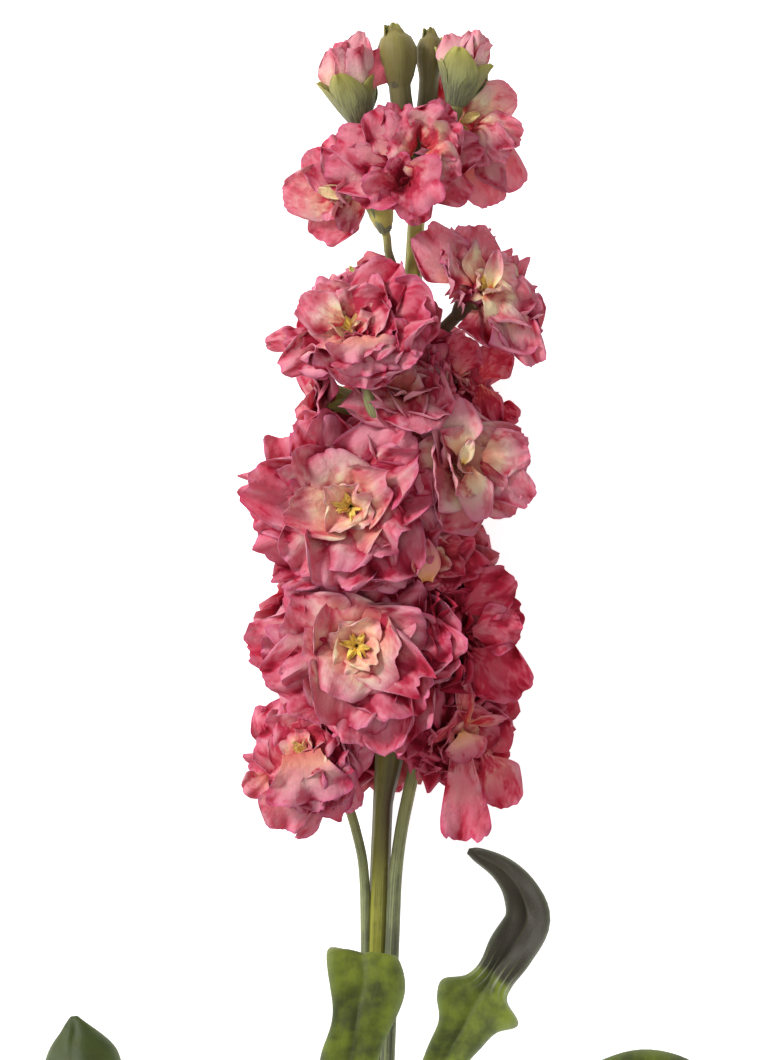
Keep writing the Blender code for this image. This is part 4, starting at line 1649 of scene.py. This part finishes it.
@dataclass(frozen=True)
class Leaf:
    """A leaf: its midrib as (x, y, z, half width), or with left and right half widths where they differ,
    with x and y from the stem's foot and z above the table. Then the way its right edge points, how
    deeply it folds and ripples, from what share of its length it shows its back, and how far painted shade
    darkens it."""

    node: str
    midrib: tuple[tuple[float, ...], ...]
    right_edge: tuple[float, float, float]
    fold: float
    ripple: float
    turns_over: float = 2.0
    tinge_and_shade: float = 0.0
    thickness: float = 0.5
    bumps: float = 0.5
    groove: tuple[float, float] = (0.9, 0.35)  # the half width and depth of the hollow along its midrib
    rows: int = 66
    columns: int = 18

    def grow(self, stem: StemLine, finish: bpy.types.Material) -> bpy.types.Object:
        """Builds the blade along its midrib.

        Args:
            stem: The stem's line.
            finish: The leaf's material.

        Returns:
            The piece.
        """
        line = smooth_line(stem.placed(*(point[:3] for point in self.midrib)), self.rows + 1)
        widths = smooth_line([Vector((point[3], point[-1], 0)) for point in self.midrib], self.rows + 1)
        frames = frames_along(line, Vector(self.right_edge))
        bm = new_mesh()
        surface = bm.verts.layers.float_vector[SURFACE]
        kind = bm.verts.layers.float_vector[KIND]
        grid = bmesh.ops.create_grid(bm, x_segments=self.columns, y_segments=self.rows, size=1.0)
        for vert in grid["verts"]:
            across, along = vert.co.x, (vert.co.y + 1) / 2
            row = round(along * self.rows)
            right, down = frames[row]
            width = max(widths[row].y if across > 0 else widths[row].x, 0.5)
            edge = across**2
            lift = self.fold * width * (math.sqrt(across**2 + 0.02) - 0.14)
            lift += self.ripple * edge * math.sin(34 * along + 2 * across)
            lift += self.bumps * noise.noise(Vector((across * 2, along * 14, len(self.node))))
            lift -= self.groove[1] * math.exp(-((across * width / self.groove[0]) ** 2))
            lift *= smooth((1 - along) / 0.1)
            point = line[row] + right * width * across - down * lift
            point.z = max(point.z, self.thickness)
            vert.co = point * MM
            vert[surface] = Vector(((across + 1) / 2, along, self.tinge_and_shade))
            vert[kind] = Vector((math.exp(-(((along - self.turns_over) / 0.05) ** 2)), 0.0, edge * edge))
        thicken(bm, grid["verts"], self.thickness)
        for vert in bm.verts:
            turned = smooth((vert[surface].y - self.turns_over) / 0.03 + 0.5)
            vert[kind].y = max(vert[kind].y, turned)
        return finished_piece(self.node + "_blade", bm, finish)


def smooth_line(points: list[Vector], count: int) -> list[Vector]:
    """Points along a smooth curve through the given ones.

    Args:
        points: The points that it passes.
        count: How many points to return.

    Returns:
        The points, evenly spread between the given ones.
    """
    knots = [2 * points[0] - points[1], *points, 2 * points[-1] - points[-2]]
    spans = len(knots) - 3
    line = []
    for step in range(count):
        place = spans * step / (count - 1)
        span = min(int(place), spans - 1)
        t = place - span
        a, b, c, d = knots[span : span + 4]
        line.append(
            0.5 * (2 * b + (c - a) * t + (2 * a - 5 * b + 4 * c - d) * t**2 + (3 * b - a - 3 * c + d) * t**3)
        )
    return line


LEAVES = (
    Leaf(
        "leaf_front",
        ((1.3, 84, 12.4, 2.2), (-2.9, 97, 21, 4), (-4.6, 112, 28, 6.2, 5.6),
         (-2.8, 124, 32.5, 6.1, 5.5), (-1.4, 132.5, 35, 5.2, 7.2), (0.1, 139.6, 36.4, 7.4, 8.2),
         (0, 145, 35.2, 7.6, 6.2), (0, 144, 31.8, 5.5, 4.5), (0, 137, 30.6, 2.4)),
        (1.0, 0.1, -0.1), 0.05, 0.3,
    ),
    Leaf(
        "leaf_curled",
        ((1.2, 66, 10.6, 2), (6, 88, 22, 3.4), (11.6, 112, 32, 4),
         (16.2, 124.5, 36.5, 4.2), (19.4, 130.4, 38.8, 5, 5.2), (21.4, 134.2, 40, 7.6, 6.6),
         (23.1, 137.4, 41.2, 8.2, 9.4), (24.3, 139.6, 41.9, 4.8, 5.2), (26, 142.4, 42.8, 3.7, 4.4),
         (29, 147, 44.2, 4.6, 4.8), (32.2, 152.8, 44, 4.4, 4.7),
         (31, 158.5, 42.5, 3.7, 3.4), (27.4, 162.6, 41, 2.6), (22.6, 165.4, 39.8, 1.5),
         (20.6, 166.2, 39.4, 0.6)),
        (0.9, -0.3, 0.2), 0.32, 0.2, turns_over=0.56, tinge_and_shade=0.15, rows=78,
    ),
    Leaf(
        "leaf_far_left",
        ((0.8, 58, 9.2, 2), (-16, 66, 17, 4), (-36, 78, 22, 6.4),
         (-51, 95, 22, 8.4), (-58, 112, 17, 9, 9.8), (-59.2, 124, 12.5, 6, 8.4),
         (-59.4, 130.6, 9, 0.8, 0.9)),
        (0.4, 0.9, 0.1), -0.30, 0.4, tinge_and_shade=0.9,
    ),
    Leaf(
        "leaf_far_right",
        ((0.8, 54, 8.8, 2), (14, 74, 20, 3.6), (28, 96, 28, 5.2),
         (42, 112, 32, 7), (56, 118.4, 31, 7.6), (69, 114, 23, 6.6),
         (79, 104, 12, 4.6), (84, 95, 2, 1.2)),
        (0.8, -0.5, 0.1), -0.16, 0.5, tinge_and_shade=0.2,
    ),
    Leaf(
        "leaf_behind_left",
        ((1.2, 74, 10.8, 2), (-5, 86, 11, 3.6), (-9.5, 100, 9, 6),
         (-12, 112, 5, 6.2), (-12.4, 120, 2, 2.6)),
        (0.9, 0.4, 0.0), 0.08, 0.3,
    ),
    Leaf(
        "leaf_low_left",
        ((0.4, 36, 7, 2), (-14, 41, 10, 4), (-30, 47, 9.5, 7),
         (-48, 50, 5.5, 6.8), (-62, 48, 0.8, 1.2)),
        (0.3, 1.0, 0.1), 0.12, 0.4,
    ),
    Leaf(
        "leaf_low_right",
        ((0.4, 28, 6.2, 2), (15, 32, 10, 4), (32, 39, 9.5, 7),
         (49, 50, 5.5, 6.8), (60, 60, 0.8, 1.2)),
        (0.4, -0.9, 0.1), 0.12, 0.4,
    ),
)


# --- the studio


@dataclass(frozen=True)
class Studio:
    """The pale table, the soft lights and the camera that looks down on the flower."""

    view_middle: tuple[float, float] = (5.3, 230.0)  # from the stem's foot, in millimetres
    view_height: float = 212.0
    view_level: float = 32.0  # the height that the view is measured at
    camera_height: float = 1100.0
    sensor: float = 36.0
    table_span: float = 6.0  # in metres
    table_colour: Colour = (0.9, 0.9, 0.9)
    table_glow: float = 0.72
    daylight: float = 0.42

    def build(self, foot: Vector) -> None:
        """Builds the table, world, lights and camera.

        Args:
            foot: The middle of the stem's foot, in millimetres.
        """
        middle = Vector((foot.x + self.view_middle[0], foot.y + self.view_middle[1], 0)) * MM
        self._table()
        self._world()
        self._camera(middle)
        self._lamp("key", middle + Vector((-1.5, 1.0, 1.1)), middle, 0.5, 45.0)
        self._lamp("fill", middle + Vector((-0.3, -0.3, 1.9)), middle, 1.4, 10.0)

    def _table(self) -> None:
        """The table, lit a little from within so that it stays near white."""
        bm = bmesh.new()
        bmesh.ops.create_grid(bm, x_segments=1, y_segments=1, size=self.table_span / 2)
        material = bpy.data.materials.new("table")
        material.use_nodes = True
        Graph(material.node_tree).feed(material.node_tree.nodes["Principled BSDF"], {
            "Base Color": self.table_colour, "Roughness": 0.9,
            "Emission Color": WHITE, "Emission Strength": self.table_glow,
        })
        finished_piece("table", bm, material)

    def _world(self) -> None:
        """An even white surrounding light."""
        world = bpy.data.worlds.new("studio")
        bpy.context.scene.world = world
        world.use_nodes = True
        light = {"Color": WHITE, "Strength": self.daylight}
        Graph(world.node_tree).feed(world.node_tree.nodes["Background"], light)
        bpy.context.scene.view_settings.view_transform = "Standard"

    def _camera(self, middle: Vector) -> None:
        """A long lens straight above the flower's spike.

        Args:
            middle: The point of the table under the middle of the view, in metres.
        """
        data = bpy.data.cameras.new("camera")
        data.sensor_fit = "VERTICAL"
        data.sensor_height = self.sensor
        data.lens = self.sensor * self.camera_height / self.view_height
        data.clip_end = 20.0
        camera = add_object("camera", data)
        camera.location = middle + UPWARD * (self.camera_height + self.view_level) * MM
        bpy.context.scene.camera = camera

    def _lamp(self, name: str, place: Vector, target: Vector, size: float, power: float) -> None:
        """A square soft box that points at the flower.

        Args:
            name: Its name.
            place: Its place, in metres.
            target: The point that it faces.
            size: The length of its side, in metres.
            power: Its power, in watts.
        """
        data = bpy.data.lights.new(name, "AREA")
        data.size = size
        data.energy = power
        lamp = add_object(name, data)
        lamp.location = place
        lamp.rotation_euler = (target - place).to_track_quat("-Z", "Y").to_euler()


# --- putting it together

NEAR = 1.25  # florets press on each other up to this many times their reaches apart


def show(piece: bpy.types.Object, slot: str, *nodes: str) -> None:
    """Joins a piece to the flower in place of its CAD nodes, and logs how many triangles it holds.

    Args:
        piece: The new piece.
        slot: The record's material slot; not used.
        nodes: The CAD nodes that it stands for.
    """
    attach(piece, "root")
    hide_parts(*nodes)
    count = sum(len(face.vertices) - 2 for face in piece.data.polygons)
    logging.info("%s: %d triangles", piece.name, count)


def main() -> None:
    """Builds the flower's pieces in order, then the studio."""
    logging.basicConfig(level=logging.INFO, format="%(message)s")
    for obj in list(bpy.data.objects):
        bpy.data.objects.remove(obj, do_unlink=True)
    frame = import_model()
    petal, stem, calyx, leaf = (
        finish.make() for finish in (PetalFinish(), STEM_FINISH, CALYX_FINISH, LEAF_FINISH)
    )

    line = StemLine.read(frame["nodes"]["main_stem"])
    show(MainStem().grow(line, stem), "stem", "main_stem")

    cups = {
        corolla.name: Cup(
            corolla.name, corolla.name + "_stalk", stalk_radius=corolla.stalk_radius,
            route=STALK_ROUTES.get(corolla.name, ()), tinge_and_shade=corolla.tinge_and_shade,
        )
        for corolla in COROLLAS
    }
    seats = {name: read_seat(frame["nodes"][cup.node], cup.length, line) for name, cup in cups.items()}
    bulks = {corolla.name: corolla.bulk(seats[corolla.name]) for corolla in COROLLAS}
    for corolla in COROLLAS:
        own = bulks[corolla.name]
        near = tuple(
            other for name, other in bulks.items()
            if name != corolla.name and (other.centre - own.centre).length < NEAR * (own.reach + other.reach)
        )
        room = Room(own.centre, own.reach, near)
        seat = seats[corolla.name]
        show(corolla.grow(seat, room, petal), "petals", corolla.name + "_petals")
        cup = cups[corolla.name]
        show(cup.grow(seat, line, calyx), "stalk", cup.node)

    for bud in BUDS:
        seat = read_seat(frame["nodes"][bud.cup.node], bud.length, line)
        show(bud.cup.grow(seat, line, calyx), "bud", bud.cup.node)
        if bud.knot:
            show(bud.unfurl(seat, petal), "petals", bud.name + "_petals")

    for blade in LEAVES:
        show(blade.grow(line, leaf), "leaf", blade.node)

    Studio().build(line.foot)


if __name__ == "__main__":
    main()
